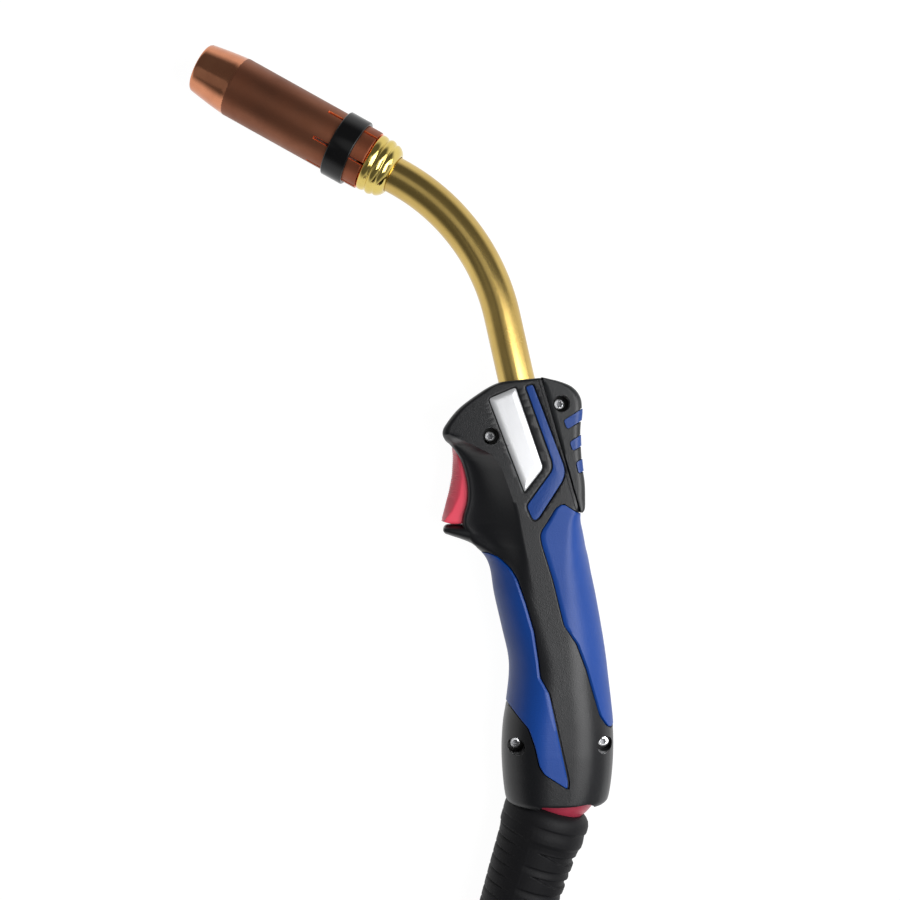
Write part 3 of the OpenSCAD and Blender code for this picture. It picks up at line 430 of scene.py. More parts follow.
def finish(name, main, other, roughness, metallic=0.0, drift_scale=60, contrast=0.6, grain_scale=2500,
           cells=0.5, bump=0.1, scratches=0.0, stretch=(120, 2500, 2500), axis=None, uneven=0.08,
           sheen=0.0, gloss=0.5, zones=None):
    """A material with drifting colour, a grained surface and faint scratches. The scratches lie along the
    first axis of the object's own coordinates, or along Y of the given axis. zones is a list of (distance
    along the axis in millimetres, colour) that tints the piece along it."""
    material = bpy.data.materials.new(name)
    material.use_nodes = True
    tree = material.node_tree
    add = adder(tree)
    turn = add("Mapping", {"Vector": add("TexCoord", {}).outputs["Object"]}, vector_type="TEXTURE")
    if axis:
        feed(tree, turn, {"Location": frame_points(axis.origin)[0],
                          "Rotation": (0, 0, math.radians(axis.degrees))})
        stretch = (stretch[1], stretch[0], stretch[2])
    place = turn.outputs[0]
    long = add("Mapping", {"Vector": place, "Scale": stretch})
    drift = add("Group", {"Vector": place, "Scale": drift_scale, "Contrast": contrast, "Colour": colour(main),
                          "Other": colour(other)}, node_tree=DRIFT)
    grain = add("Group", {"Vector": place, "Scratch Vector": long.outputs[0], "Scale": grain_scale,
                          "Cells": cells, "Scratches": scratches}, node_tree=GRAIN)
    shade = drift.outputs["Color"]
    if zones:
        low, high = zones[0][0], zones[-1][0]
        apart = add("SeparateXYZ", {0: place})
        along = add("MapRange", {"Value": apart.outputs["Y"], "From Min": low * MM, "From Max": high * MM})
        ramp = add("ValToRGB", {0: along.outputs[0]})
        elements = ramp.color_ramp.elements
        for k, (distance, tint) in enumerate(zones):
            element = elements[k] if k < 2 else elements.new(1.0)
            element.position = (distance - low) / (high - low)
            element.color = colour(tint)
        product = add("Mix", {"Factor": 1, "A": shade, "B": ramp.outputs[0]}, data_type="RGBA",
                      blend_type="MULTIPLY")
        shade = product.outputs["Result"]
    rough = add("MapRange", {"Value": drift.outputs["Mask"], "To Min": roughness - uneven,
                             "To Max": roughness + uneven})
    raised = add("Bump", {"Strength": bump, "Distance": GRAIN_HEIGHT, "Height": grain.outputs["Height"]})
    feed(tree, tree.nodes["Principled BSDF"],
         {"Base Color": shade, "Roughness": rough.outputs[0], "Normal": raised.outputs[0],
          "Metallic": metallic, "Specular IOR Level": gloss, "Sheen Weight": sheen})
    return material


NECK = Axis((0, 0), 12.6)
NOZZLE = Axis((-48.0915, 83.1211), 60.85)
TUBE_R, TUBE_BORE_R = 7.5, 6.3
BALL, BALL_R = np.array([16.8, -163.6, 0]), 17
CABLE_LEAN = 17.9  # degrees between the cable's axis and the handle's
CABLE = Axis(BALL[:2], 180 - CABLE_LEAN)
NOZZLE_ZONES = [(13, (146, 84, 60)), (22, (150, 94, 70)), (40, (140, 92, 70)), (60, (134, 87, 66)),
                (76.5, (146, 95, 72)), (93, (146, 95, 72))]
# Every material of the torch, by the name of its finish
PAINTS = dict(
    shell=finish("shell_black", (16, 17, 20), (13, 14, 17), 0.37, grain_scale=2600, cells=0.6, bump=0.6,
                 drift_scale=40, uneven=0.05, gloss=0.36),
    cover=finish("cover_black", (21, 23, 25), (17, 19, 21), 0.38, grain_scale=2600, cells=0.6, bump=0.7,
                 drift_scale=40, uneven=0.05, gloss=0.36),
    grip=finish("grip_blue", (6, 60, 138), (5, 53, 124), 0.48, gloss=0.35, grain_scale=1800, cells=0.4,
                bump=0.4, drift_scale=30, contrast=0.5, scratches=0.35, stretch=(90, 1500, 90)),
    trim=finish("trim_blue", (14, 58, 128), (10, 50, 114), 0.42, gloss=0.35, grain_scale=1500, cells=0.5,
                bump=0.9, drift_scale=60, contrast=0.5),
    plate=finish("plate_silver", (218, 219, 221), (206, 207, 210), 0.3, metallic=0.6, grain_scale=1200,
                 cells=0.2, bump=0.04, scratches=0.04, stretch=(3000, 90, 3000), uneven=0.03),
    steel=finish("screw_steel", (244, 245, 247), (226, 228, 232), 0.26, metallic=0.9, grain_scale=1500,
                 bump=0.15, scratches=0.5, stretch=(900, 900, 200)),
    # the darker steel inside the screws' recesses is painted shade, the same steel as the head made darker
    recess=finish("recess_steel_painted_shade", (120, 121, 124), (84, 85, 88), 0.35, metallic=1.0, grain_scale=1500,
                  bump=0.1),
    tube=finish("tube_brass", (206, 178, 106), (176, 146, 80), 0.27, metallic=1.0, axis=NECK, drift_scale=45,
                grain_scale=900, cells=0.2, bump=0.1, scratches=0.8, stretch=(60, 2600, 2600)),
    fitting=finish("fitting_brass", (222, 200, 116), (198, 172, 88), 0.16, metallic=1.0, axis=NOZZLE,
                   drift_scale=120, grain_scale=1200, cells=0.2, bump=0.05, scratches=0.5,
                   stretch=(2600, 120, 120)),
    nozzle=finish("nozzle_copper", (255, 255, 255), (228, 216, 208), 0.5, metallic=1.0, axis=NOZZLE,
                  zones=NOZZLE_ZONES, drift_scale=90, grain_scale=1500, cells=0.25, bump=0.12, scratches=0.6,
                  stretch=(2600, 100, 100)),
    front=finish("front_copper", (214, 144, 108), (180, 114, 84), 0.2, metallic=1.0, axis=NOZZLE,
                 drift_scale=120, grain_scale=1500, cells=0.25, bump=0.1, scratches=0.6,
                 stretch=(90, 2400, 2400)),
    slot=finish("slot_copper", (250, 128, 74), (236, 104, 56), 0.34, metallic=0.75, axis=NOZZLE,
                drift_scale=150, grain_scale=1500, bump=0.1),
    copper=finish("tip_copper", (214, 138, 104), (186, 112, 82), 0.3, metallic=1.0, axis=NOZZLE,
                  drift_scale=120, grain_scale=1500, cells=0.2, bump=0.1, scratches=0.5,
                  stretch=(2600, 150, 150)),
    band=finish("band_black", (9, 9, 10), (12, 12, 13), 0.2, grain_scale=700, cells=0.1, bump=0.06,
                drift_scale=80, gloss=0.3, axis=NOZZLE, uneven=0.04),
    insulator=finish("insulator_brown", (92, 70, 58), (70, 52, 44), 0.55, bump=0.4),
    red=finish("trigger_red", (226, 78, 98), (212, 70, 88), 0.36, gloss=0.3, grain_scale=2600, cells=0.5,
               bump=0.25, drift_scale=70, contrast=0.5),
    ball=finish("ball_red", (164, 52, 72), (148, 44, 62), 0.42, grain_scale=2600, cells=0.5, bump=0.3,
                drift_scale=70, scratches=0.3, stretch=(80, 900, 80)),
    switch=finish("switch_black", (30, 30, 31), (24, 24, 25), 0.5, bump=0.3),
    sleeve=finish("sleeve_rubber", (23, 23, 25), (17, 17, 19), 0.56, gloss=0.14, grain_scale=1600, cells=0.3,
                  bump=0.5, drift_scale=35, contrast=0.7, scratches=0.5, axis=CABLE, stretch=(300, 900, 900)),
    hose=finish("hose_rubber", (29, 29, 31), (22, 22, 24), 0.56, gloss=0.3, grain_scale=1500, cells=0.3,
                bump=0.5, drift_scale=25, contrast=0.7, scratches=0.5, stretch=(200, 700, 700)),
    strap=finish("strap_web", (40, 40, 42), (28, 28, 30), 0.8, grain_scale=1200, cells=0.8, bump=0.9,
                 drift_scale=120, sheen=0.2),
    plug=finish("connector_black", (36, 37, 38), (30, 31, 32), 0.46, grain_scale=2600, cells=0.6, bump=0.45,
                drift_scale=50),
    sheath=finish("sheath_grey", (70, 70, 72), (54, 54, 56), 0.6, bump=0.4, drift_scale=50)
)

CAD_FINISH = {"inner_tube": "copper", "wire_liner": "steel", "neck_socket": "steel",
              "cable_coupling": "fitting", "inner_cable": "sheath", "nozzle_insulator": "insulator",
              "gas_diffuser": "fitting", "tip_holder": "copper", "switch_housing": "switch",
              "switch_plunger": "red", "connector_plug": "fitting", "connector_contacts": "fitting"}


def dress_cad_nodes():
    """The inner pieces keep their solids and get a finish."""
    for node, paint in CAD_FINISH.items():
        for slot in cad_object(node).material_slots:
            slot.material = PAINTS[paint]


def cad_object(node):
    """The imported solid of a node."""
    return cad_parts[node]


# ---------------------------------------------------------------- handle
# Outline of the handle, front and back edge in pairs from the neck to the lower end
FRONT_LINE = np.array([
    [-8, -1.5], [-14, -4.7], [-23.4, -11.6], [-28.9, -18.2], [-30.3, -21.6], [-29.4, -24.4], [-26.7, -27],
    [-22.8, -33], [-20.5, -41.6], [-20.4, -49], [-22.2, -56.3], [-21.4, -62.1], [-16.6, -67.8],
    [-13.1, -71.5], [-10.7, -77], [-9, -87.5], [-5.8, -101.4], [-3.3, -112.5], [-3, -120.3], [-4.1, -130.5],
    [-5.6, -140], [-6.2, -150.6], [-5.7, -161.3], [-4.6, -169.8], [-3.2, -171.8]])
BACK_LINE = np.array([
    [10, 0.3], [16.2, -0.9], [24, -5.4], [26, -12.1], [25.6, -20.3], [25.4, -24], [25.6, -27.6], [26, -33],
    [25.6, -41.6], [24.9, -49], [24.8, -55.7], [26.3, -61.6], [27.8, -67.8], [28.9, -72.2], [30, -78],
    [32, -87.5], [34.5, -101.4], [36.2, -112.5], [37.1, -120.3], [38.3, -130.5], [39.2, -140],
    [39.4, -150.6], [38.7, -161.3], [37.3, -169.6], [35.6, -171.8]])
COVER_LINE = np.array([
    [9.2, 0.3], [15.6, -1.0], [21.3, -3.4], [24.5, -7.4], [25.2, -12.6], [24.6, -20.5], [24.8, -27.6],
    [25.4, -35], [26.3, -41.4], [26.5, -47], [26.3, -51.6], [25.3, -53.3]])
END_HALF, WAIST_HALF, HEAD_HALF = 19.5, 17.8, 18.5
# Tables over the distance from the neck
FRONT_HALF = [(-171, END_HALF), (-150, END_HALF), (-95, WAIST_HALF), (-87.5, 17.2), (-77, 15), (-71.5, 13),
              (-67.8, 11.5), (-62, 9.5), (-56, 9), (-33, 9), (-27, 10.5), (-24.4, 15),
              (-22, HEAD_HALF - 0.2), (-20, HEAD_HALF), (0, HEAD_HALF)]
CREASE = [(-95, 9), (-69.7, 2.8), (-53.4, -0.7), (-44.3, -3.8), (-35.8, -6.8), (-30.2, -10.9),
          (-27.1, -17.5), (-23.1, -25.5), (-20, -26), (0, -5)]
HALF_THICK = [(-171, END_HALF - 0.9), (-169.5, END_HALF), (-150, END_HALF - 0.1), (-125, WAIST_HALF + 0.8),
              (-105, WAIST_HALF + 0.1), (-90, WAIST_HALF), (-75, HEAD_HALF - 0.3), (-60, HEAD_HALF),
              (0, HEAD_HALF), (1.6, HEAD_HALF - 0.5)]
FRONT_ROUND = [(-171, 16), (-160, 18), (-125, 17), (-95, 16), (-80, 13), (-70, 8), (-62, 4), (-58, 1.6),
               (-27, 1.6), (-22, 3), (0, 3)]
BACK_ROUND = [(-171, 18), (-125, 17), (-95, 15), (-75, 12), (-60, 7), (-52, 3), (0, 3)]
FRONT_GRIP_LOW = [(-162.5, 18.6), (-156.7, 9.5), (-153.7, 7.6), (-145.8, 5.8), (-139.1, 3.4),
                  (-130.6, -4.5), (-120, -40)]
FRONT_GRIP_HIGH = [(-162.5, 19.8), (-159.7, 20.1), (-133, 14.3), (-125.1, 12.5), (-118.9, 8.9),
                   (-111.8, 8.1), (-100.7, 6.4), (-89.5, 3.1), (-80, -0.3), (-75.7, -3.1), (-71.3, -8),
                   (-69.6, -13)]
BACK_GRIP_LOW = [(-140.4, 37.8), (-139.2, 35.6), (-134.6, 32.4), (-126.8, 30), (-115.6, 26.7), (-105.5, 22.8),
                 (-98.2, 17.7), (-80.2, 13.3), (-65.9, 8.8), (-62.7, 8.3), (-60.7, 8.9), (-56.6, 11.6),
                 (-51.6, 14.5), (-49.8, 17.1)]
BACK_GRIP_HIGH = [(-60, 60), (-54.3, 24.8), (-49.8, 17.9)]
FRONT_SPAN, BACK_SPAN = (-162.5, -69.6), (-140.4, -49.8)
WALL, GRIP_ROOM, INLAY_GAP, FRONT_GAP = 2.4, 1.3, 0.42, 0.75


def spline(points, s):
    """Catmull-Rom: the point at s is 0.5 (2 b + (c - a) t + (2 a - 5 b + 4 c - d) t^2
    + (3 b - a - 3 c + d) t^3), with t = s - floor(s) and a, b, c, d the four corners round it."""
    last = len(points) - 1
    i = np.minimum(np.floor(s).astype(int), last - 1)
    t = (s - i)[:, None]
    a, b = points[np.maximum(i - 1, 0)], points[i]
    c, d = points[i + 1], points[np.minimum(i + 2, last)]
    return 0.5 * (2 * b + (c - a) * t + (2 * a - 5 * b + 4 * c - d) * t ** 2
                  + (3 * b - a - 3 * c + d) * t ** 3)


def lookup(y, table, blur=0.0):
    """Straight lines between the entries of a table, averaged over a hat of that half width."""
    at, value = np.transpose(table)
    if not blur:
        return np.interp(y, at, value)
    offsets = np.linspace(-1, 1, 9)
    weights = 1 - np.abs(offsets) * 0.9
    return sum(w * np.interp(y + o * blur, at, value) for w, o in zip(weights, offsets)) / weights.sum()


def rounding(u, r, h):
    """Rise of a quarter ellipse of width r and height h: h sqrt(1 - (1 - u / r)^2), then h."""
    return h * quarter(u / r)


def upright(r):
    """The straight height beside an edge that is rounded to the width r: 15.5 - 2.2 (r - 3), and at least
    0.8."""
    return np.maximum(0.8, 15.5 - 2.2 * (r - 3))


class Slices:
    """Slices across the handle whose mean height takes the given values."""

    def __init__(self, heights):
        fine = np.linspace(0, len(FRONT_LINE) - 1, 6001)
        mean = (spline(FRONT_LINE, fine)[:, 1] + spline(BACK_LINE, fine)[:, 1]) / 2
        s = np.interp(-np.asarray(heights, float), -mean, fine)
        front, back = spline(FRONT_LINE, s), spline(BACK_LINE, s)
        self.front = front
        self.width = np.linalg.norm(back - front, axis=1)
        self.direction = (back - front) / self.width[:, None]
        self.y = (front[:, 1] + back[:, 1]) / 2

    def across(self, x):
        return (x - self.front[:, 0]) / self.direction[:, 0]

    def surface(self, u, inset, flat=False):
        """Points at the distances u (rows, n) from the front edge, on the surface moved inwards. The half
        thickness is the smaller of the front side (rounded edge, hollow up to the crease, which fades out
        towards the waist) and of the back side (rounded edge)."""
        y, width = self.y[:, None], self.width[:, None]
        inset = np.broadcast_to(inset, u.shape)
        w = width - 2 * inset
        v = u * w / width
        thick = lookup(y, HALF_THICK) - inset
        low = np.minimum(lookup(y, FRONT_HALF), lookup(y, HALF_THICK)) - inset
        crease = lookup(y, CREASE, 1.5) - self.front[:, :1] - inset
        r_front, r_back = lookup(y, FRONT_ROUND), lookup(y, BACK_ROUND)
        foot = np.minimum(r_front, 0.35 * crease)
        t = np.clip((v - foot) / np.maximum(crease - foot, 1), 0, 1)
        fade = np.clip((-57 - y) / 20, 0, 1)
        side = low + (thick - low) * t * t * (1.7 + 1.3 * fade - (0.7 + 1.3 * fade) * t)
        f = np.maximum(low - upright(r_front), 2.5)
        b = np.maximum(thick - upright(r_back), 2.5)
        height = np.minimum(side - f + rounding(v, r_front, f), thick - b + rounding(w - v, r_back, b))
        plane = self.front[:, None] + self.direction[:, None] * (v + inset)[..., None]
        return np.concatenate([plane, (0 * height if flat else height)[..., None]], -1)

    def grip_edges(self):
        """Places across the slices where the front grip begins and ends, the crease, and the back grip's."""
        y, w = self.y, self.width
        a1 = np.maximum(self.across(lookup(y, FRONT_GRIP_LOW, 1.0)), 0.3)
        b1 = np.maximum(self.across(lookup(y, FRONT_GRIP_HIGH, 1.0)), a1 + 1.4)
        crease = self.across(lookup(y, CREASE, 1.5))
        beyond = (y > FRONT_SPAN[1]) & (b1 > crease - 0.8)
        b1 = np.where(beyond, np.maximum(crease - 0.8, a1 + 0.5), b1)
        a2 = np.minimum(np.maximum(self.across(lookup(y, BACK_GRIP_LOW, 1.0)), b1 + 1.6), w - 2)
        b2 = np.minimum(np.maximum(self.across(lookup(y, BACK_GRIP_HIGH, 1.0)), a2 + 1.4), w - 0.3)
        crease = np.clip(crease, b1 + 0.3, a2 - 0.3)
        return a1, b1, crease, a2, b2


def band(a, b, n, power_a=1.0, power_b=1.0):
    """n + 1 places from a to b in each row, denser towards the end whose power is above 1."""
    t = np.linspace(0, 1, n + 1)[None]
    t = t ** power_a if power_b == 1 else 1 - (1 - t) ** power_b
    return a[:, None] + (b - a)[:, None] * t


def rows_between(low, high, step, *extra):
    """Heights from high down to low, with doubled rows at the extra ones, where the depth jumps."""
    count = int(round((high - low) / step))
    rows = list(np.linspace(high, low, count + 1))
    for y in extra:
        rows = [r for r in rows if abs(r - y) > 0.3 * step] + [y - 0.015, y + 0.015]
    return np.array(sorted(rows, reverse=True))


HANDLE_TOP, HANDLE_END, END_ROUND, EDGE_SOFT = -0.62, -171.78, 1.0, 0.3
ROW_STEP, ROD_AROUND = 0.6, 48


def shell_body(name, side):
    """The outside of one shell down to the parting plane, with the beds of the grips. Towards both ends the
    surface moves in by r (1 - sin b) at the distance r (1 - cos b) from the end, b from 0 to 90 degrees."""
    b = np.linspace(0, math.pi / 2, 6)
    ends = END_ROUND * (1 - np.cos(b[:-1]))
    middle = rows_between(HANDLE_END + END_ROUND, HANDLE_TOP - END_ROUND, ROW_STEP, *FRONT_SPAN, *BACK_SPAN)
    heights = np.concatenate([HANDLE_TOP - ends, middle, (HANDLE_END + ends)[::-1]])
    drawn_in = END_ROUND * (1 - np.sin(b[:-1]))
    inset = np.concatenate([drawn_in, np.zeros(len(middle)), drawn_in[::-1]])[:, None]
    cut = Slices(heights)
    a1, b1, crease, a2, b2 = cut.grip_edges()
    y, w = cut.y, cut.width
    bed1 = (GRIP_ROOM * ((y > FRONT_SPAN[0]) & (y < FRONT_SPAN[1])))[:, None]
    bed2 = (GRIP_ROOM * ((y > BACK_SPAN[0]) & (y < BACK_SPAN[1])))[:, None]
    rim1 = np.where(a1[:, None] < 1, bed1, 0)
    rim2 = np.where((w - b2)[:, None] < 1, bed2, 0)
    soft1, soft2 = EDGE_SOFT * bed1 / GRIP_ROOM, EDGE_SOFT * bed2 / GRIP_ROOM
    near, fall = np.array([0, 0.06, 0.18, 0.35]), np.array([1, 0.44, 0.13, 0])
    room1, room2 = np.minimum(crease - b1, 1)[:, None], np.minimum(a2 - crease, 1)[:, None]
    parts = [(band(0 * a1, a1, 14, power_a=2.0), rim1),
             (band(a1 + 0.01, b1 - 0.01, 26, power_a=2.0), bed1),
             (b1[:, None] + near * room1, soft1 * fall),
             (band(b1 + 0.5 * room1[:, 0], crease, 15), 0),
             (band(crease, a2 - 0.5 * room2[:, 0], 14)[:, 1:], 0),
             (a2[:, None] - near[::-1] * room2, soft2 * fall[::-1]),
             (band(a2 + 0.01, b2 - 0.01, 26, power_b=2.0), bed2),
             (band(b2, w, 10, power_b=2.0), rim2)]
    top = np.concatenate([cut.surface(u, inset + depth) for u, depth in parts], 1)
    first = cut.surface(0 * w[:, None], inset + rim1, flat=True)
    last = cut.surface(w[:, None], inset + rim2, flat=True)
    rings = np.concatenate([first, top, last], 1)
    rings[..., 2] *= side
    return rings_piece(name, rings)


def core_body(side):
    """The hollow inside of one shell: the surface moved in by the wall, from just below the parting plane."""
    cut = Slices(rows_between(-141.5, -5, 2.5))
    u = band(0 * cut.width, cut.width, 12, power_a=2.0)
    u = np.concatenate([u[:, :-1] * 0.5, cut.width[:, None] - u[:, ::-1] * 0.5], 1)
    top = cut.surface(u, WALL)
    first, last = (cut.surface(end[:, None], WALL, flat=True) - [0, 0, 1]
                   for end in (0 * cut.width, cut.width))
    rings = np.concatenate([first, top, last], 1)
    rings[..., 2] *= side
    return rings_piece("core", rings)


def rod(r, start, end, around=ROD_AROUND, r_end=None):
    """A closed cylinder or cone between two points."""
    start, end = np.asarray(start, float), np.asarray(end, float)
    d = unit(end - start)
    u = unit(np.cross(d, [1, 0, 0] if abs(d[0]) < 0.9 else [0, 1, 0]))
    a = circle(around)[:, None]
    out = np.cos(a) * u + np.sin(a) * np.cross(d, u)
    return rings_piece("rod", np.stack([start + r * out, end + (r if r_end is None else r_end) * out]))


def ball_piece(centre, r):
    """A sphere: z = r cos b, radius r sin b."""
    b, a = np.linspace(0, math.pi, 37)[1:-1, None], circle(72)
    wide = r * np.sin(b)
    points = np.stack([wide * np.cos(a), wide * np.sin(a), r * np.cos(b) + 0 * a], -1)
    return rings_piece("seat", points + centre)


def slab(outline, low, high, side=1):
    """A plate between two heights, mirrored for the right side."""
    return layered("slab", [(outline, side * low), (outline, side * high)])


SEAM_TOP, SEAM_END = np.array([9.2, -1.2]), np.array([24.1, -52.9])
COVER_FLOOR = -53.6


def seam_x(y):
    """Place of the straight seam between shell and rear cover at the height y."""
    return SEAM_TOP[0] + (SEAM_END[0] - SEAM_TOP[0]) * (SEAM_TOP[1] - y) / (SEAM_TOP[1] - SEAM_END[1])


COVER_SCREW = (16.9, -10.1)
SHELL_SCREWS = [(-11, -23), (-0.8, -147), (34.7, -146.4)]
SCREW_SEAT, COVER_SEAT = 4.4, 6.2  # heights of the screw heads' seats
SINK_R, BOSS_R, SCREW_HOLE_R = 3.4, 4.2, 1.55
PIVOT = (-22.3, -28.2)
TRIGGER_HALF, TRIGGER_PLAY = 6.4, 0.4
PLATE_CORNERS, PLATE_RADII = [(-11.9, -8.2), (-1.4, -3.7), (9.5, -35.7), (2.2, -45.1)], [0.9, 1.0, 1.4, 0.7]
NAMEPLATE = rounded(PLATE_CORNERS, PLATE_RADII)
CHEVRON = rounded([(2.6, -3.4), (5.4, -2.6), (17.9, -35.4), (18, -38.2), (17, -41), (7.6, -55.6),
                   (6.2, -56.3), (5.2, -55.6), (3.4, -51.6), (3.4, -50.2), (12.8, -37.2), (13.4, -35.4),
                   (13.2, -33)],
                  [1, 0.9, 2, 2, 2, 0.9, 0.7, 0.9, 0.8, 0.8, 1.2, 1.2, 1.5])
STRIPES = [[(17.7, -16.8), (31, -8.6), (31, -13), (19.1, -20.3)],
           [(20.1, -25.4), (31, -18.6), (31, -23), (21.3, -28.9)],
           [(22.6, -33.4), (31, -29.3), (31, -34.1), (23.6, -37.8)]]
LIP_TIP, LIP_ROOT, LIP_POWER = -30.1, -10.0, 2.6
# Tables over X: the lip's upper and lower edge in plan, and its half thickness
LIP_OVER = [(-30.1, -60.7), (-29.8, -59.8), (-29.2, -59.2), (-28.2, -58.9), (-10, -58.9)]
LIP_UNDER = [(-30.1, -61.3), (-29.8, -62.1), (-29.2, -62.7), (-26.6, -63.6), (-23.2, -64.7), (-20.7, -65.6),
             (-18.7, -66.5), (-16.4, -68.1), (-14, -70.4), (-10, -75)]
LIP_HALF = [(-30.1, 6.4), (-29.6, 7.3), (-28, 8.1), (-24, 8.7), (-18, 9.4), (-10, 9.8)]
SCALLOP = [(7.4, -175), (8.4, -170.4), (9.4, -169.8), (15.5, -170.0), (22, -169.6), (27.2, -169.0),
           (28.4, -169.3), (30, -170.3), (31, -175)]
ROOM_GAP, BED_DEPTH, INLAY_FOOT = 0.36, 1.2, 1.15
STRIPE_PROUD, STRIPE_DEPTH = 0.25, 1.0
BEYOND = 30  # reach of cutters past the surface


def bed(outline, low, high, side):
    """A cutter for an inlay: its walls stand a gap away from the inlay and flare near the surface."""
    walls = [(0, low), (0, high - 0.28), (0.12, high - 0.1), (0.34, high), (0.6, high + 6)]
    return layered("bed", [(moved_in(outline, -ROOM_GAP - flare), side * z) for flare, z in walls])


def lip(side):
    """The lip under the trigger. A section at the place x is |v|^2.6 + |z / h|^2.6 = 1, v running from -1
    on its lower edge to 1 on its upper edge."""
    tip = LIP_TIP + 1.2 * (1 - np.cos(np.linspace(0, math.pi / 2, 8)))
    x = np.concatenate([tip, np.linspace(-28.2, LIP_ROOT, 20)])
    over, under, half = (np.interp(x, *np.transpose(table))[:, None]
                         for table in (LIP_OVER, LIP_UNDER, LIP_HALF))
    a = np.linspace(0, math.pi, 33)[None]
    y = (over + under) / 2 + (over - under) / 2 * np.sign(np.cos(a)) * np.abs(np.cos(a)) ** (2 / LIP_POWER)
    z = side * half * np.abs(np.sin(a)) ** (2 / LIP_POWER)
    return rings_piece("lip", np.stack([x[:, None] + 0 * y, y, z], -1))


def sleeve_room(lean):
    """The room that the bend sleeve needs in the rim of the mouth at a lean to the front or the back."""
    axis = Axis(BALL[:2], 180 + lean)
    r, t = np.transpose([(15.6, 9.8), (17.3, 11.2), (18.2, 12.9), (18.5, 15), (18.5, 26)])[..., None]
    return rings_piece("room", axis.at(r, circle(72), t))


def handle_shell(name, side):
    """One shell: its body, hollowed and cut out for everything that it holds. The left one has the bed of the
    nameplate and the sinks of the screws."""
    core = core_body(side)
    slot = TRIGGER_HALF + TRIGGER_PLAY
    bosses = [rod(BOSS_R, (*p, -2 * side), (*p, BEYOND * side)) for p in SHELL_SCREWS]
    bosses.append(rod(3, (*PIVOT, slot * side), (*PIVOT, BEYOND * side)))
    carve(core, bosses)
    shell = carve(shell_body(name, side), [lip(side)], "UNION")
    floor = COVER_FLOOR - 0.15
    room = [(seam_x(3) - 0.15, 3), (42, 3), (42, floor), (seam_x(COVER_FLOOR) - 0.15, floor)]
    line = [(seam_x(y) - 1.2 - width, y) for y, width in ((1, 0.35), (1, 0), (-52.5, 0), (-52.5, 0.35))]
    cutters = [
        core, slab(room, -BEYOND, BEYOND),  # the hollow, and the room of the rear cover
        slab(line, HEAD_HALF - 0.6, BEYOND, side),  # the fine line beside the seam
        slab([(-36, -58.9), (-11.5, -58.9), (-11.5, -24.5), (-36, -24.5)], -slot, slot),  # the trigger's slot
        rod(TUBE_R + 0.08, NECK.at(0, 0, -9), NECK.at(0, 0, 12), 96),
        ball_piece(BALL, BALL_R + 0.05), rod(12.6, BALL + [0, 6, 0], BALL + [0, 26, 0]),  # seat and throat
        rod(13.6, BALL, BALL - [0, 8.6, 0], 96, r_end=18),  # the cone of the rear mouth, and its rim
        rod(18.3, BALL + [0.9, -6.8, 0], BALL + [0.9, -8.7, 0], 128, r_end=22.2),
        sleeve_room(-CABLE_LEAN), sleeve_room(CABLE_LEAN), slab(SCALLOP, 12, BEYOND, side),
        bed(CHEVRON, HEAD_HALF - BED_DEPTH, HEAD_HALF, side)]
    if side > 0:
        cutters += [rod(SINK_R, (*p, SCREW_SEAT), (*p, BEYOND), 64) for p in SHELL_SCREWS]
        cutters.append(bed(NAMEPLATE, HEAD_HALF - BED_DEPTH, HEAD_HALF, side))
    cutters += [rod(SCREW_HOLE_R, (*p, -5 * side), (*p, 12 * side), 24) for p in SHELL_SCREWS]
    return painted(carve(shell, cutters), "shell")


def cover_body(name, inset=0.0, hollow=True):
    """The rear cover: from the seam on one side, round the back edge, to the seam on the other side. Its half
    height is h - r + r sqrt(1 - ((u - w + r) / r)^2) within r of the back edge."""
    s = np.concatenate([np.linspace(0, 1, 9)[:-1], np.linspace(1, 11, 110)])
    back = spline(COVER_LINE, s)
    y, x0 = back[:, 1:], seam_x(back[:, 1:]) + 0.15
    w = back[:, :1] - x0 - inset
    h = lookup(y, HALF_THICK) - inset
    r = np.minimum(3.0, w * 0.8)
    u = band(0 * w[:, 0], w[:, 0], 22, power_b=2.0)
    z = h - r + r * np.sqrt(np.clip(1 - (np.clip(u - w + r, 0, None) / r) ** 2, 0, 1))
    if inset == 0:
        z = z - 0.5 * (1 - quarter(u / 0.5))
    left = np.stack([x0 + u, y + 0 * u, z], -1)
    rings = np.concatenate([left, (left * [1, 1, -1])[:, ::-1]], 1)
    if hollow:
        walled = ((s > 1.2) & (s < 10))[:, None]
        v = np.where(walled, w - WALL, 0.2) * np.linspace(0, 1, 9)
        inside = np.stack([x0 + v, y + 0 * v, np.where(walled, h - WALL, 0.1) + 0 * v], -1)
        rings = np.concatenate([rings, inside * [1, 1, -1], inside[:, ::-1]], 1)
    return rings_piece(name, rings)


def rear_cover():
    """The cover with the sink of its screw and the beds of the stripes, and the three stripes round it."""
    cover = cover_body("cover")
    boss = rod(BOSS_R, (*COVER_SCREW, SCREW_SEAT + 0.1), (*COVER_SCREW, HEAD_HALF - 1))
    carve(cover, [boss], "UNION")
    stripes, beds = [], []
    for outline in STRIPES:
        line = rounded(outline, [1.0, 0.5, 0.5, 1.0])
        stripe = carve(slab(line, -BEYOND, BEYOND), [cover_body("limit", -STRIPE_PROUD, hollow=False)],
                       "INTERSECT")
        stripes.append(carve(stripe, [cover_body("within", STRIPE_DEPTH, hollow=False)]))
        room = slab(moved_in(line, -ROOM_GAP), -BEYOND, BEYOND)
        beds.append(carve(room, [cover_body("floor", STRIPE_DEPTH + 0.05, hollow=False)]))
    sink = rod(SINK_R, (*COVER_SCREW, COVER_SEAT), (*COVER_SCREW, BEYOND), 64)
    hole = rod(SCREW_HOLE_R, (*COVER_SCREW, 0), (*COVER_SCREW, BEYOND), 24)
    carve(cover, [sink, hole, *beds])
    return painted(cover, "cover"), painted(merged("stripes", stripes), "trim")


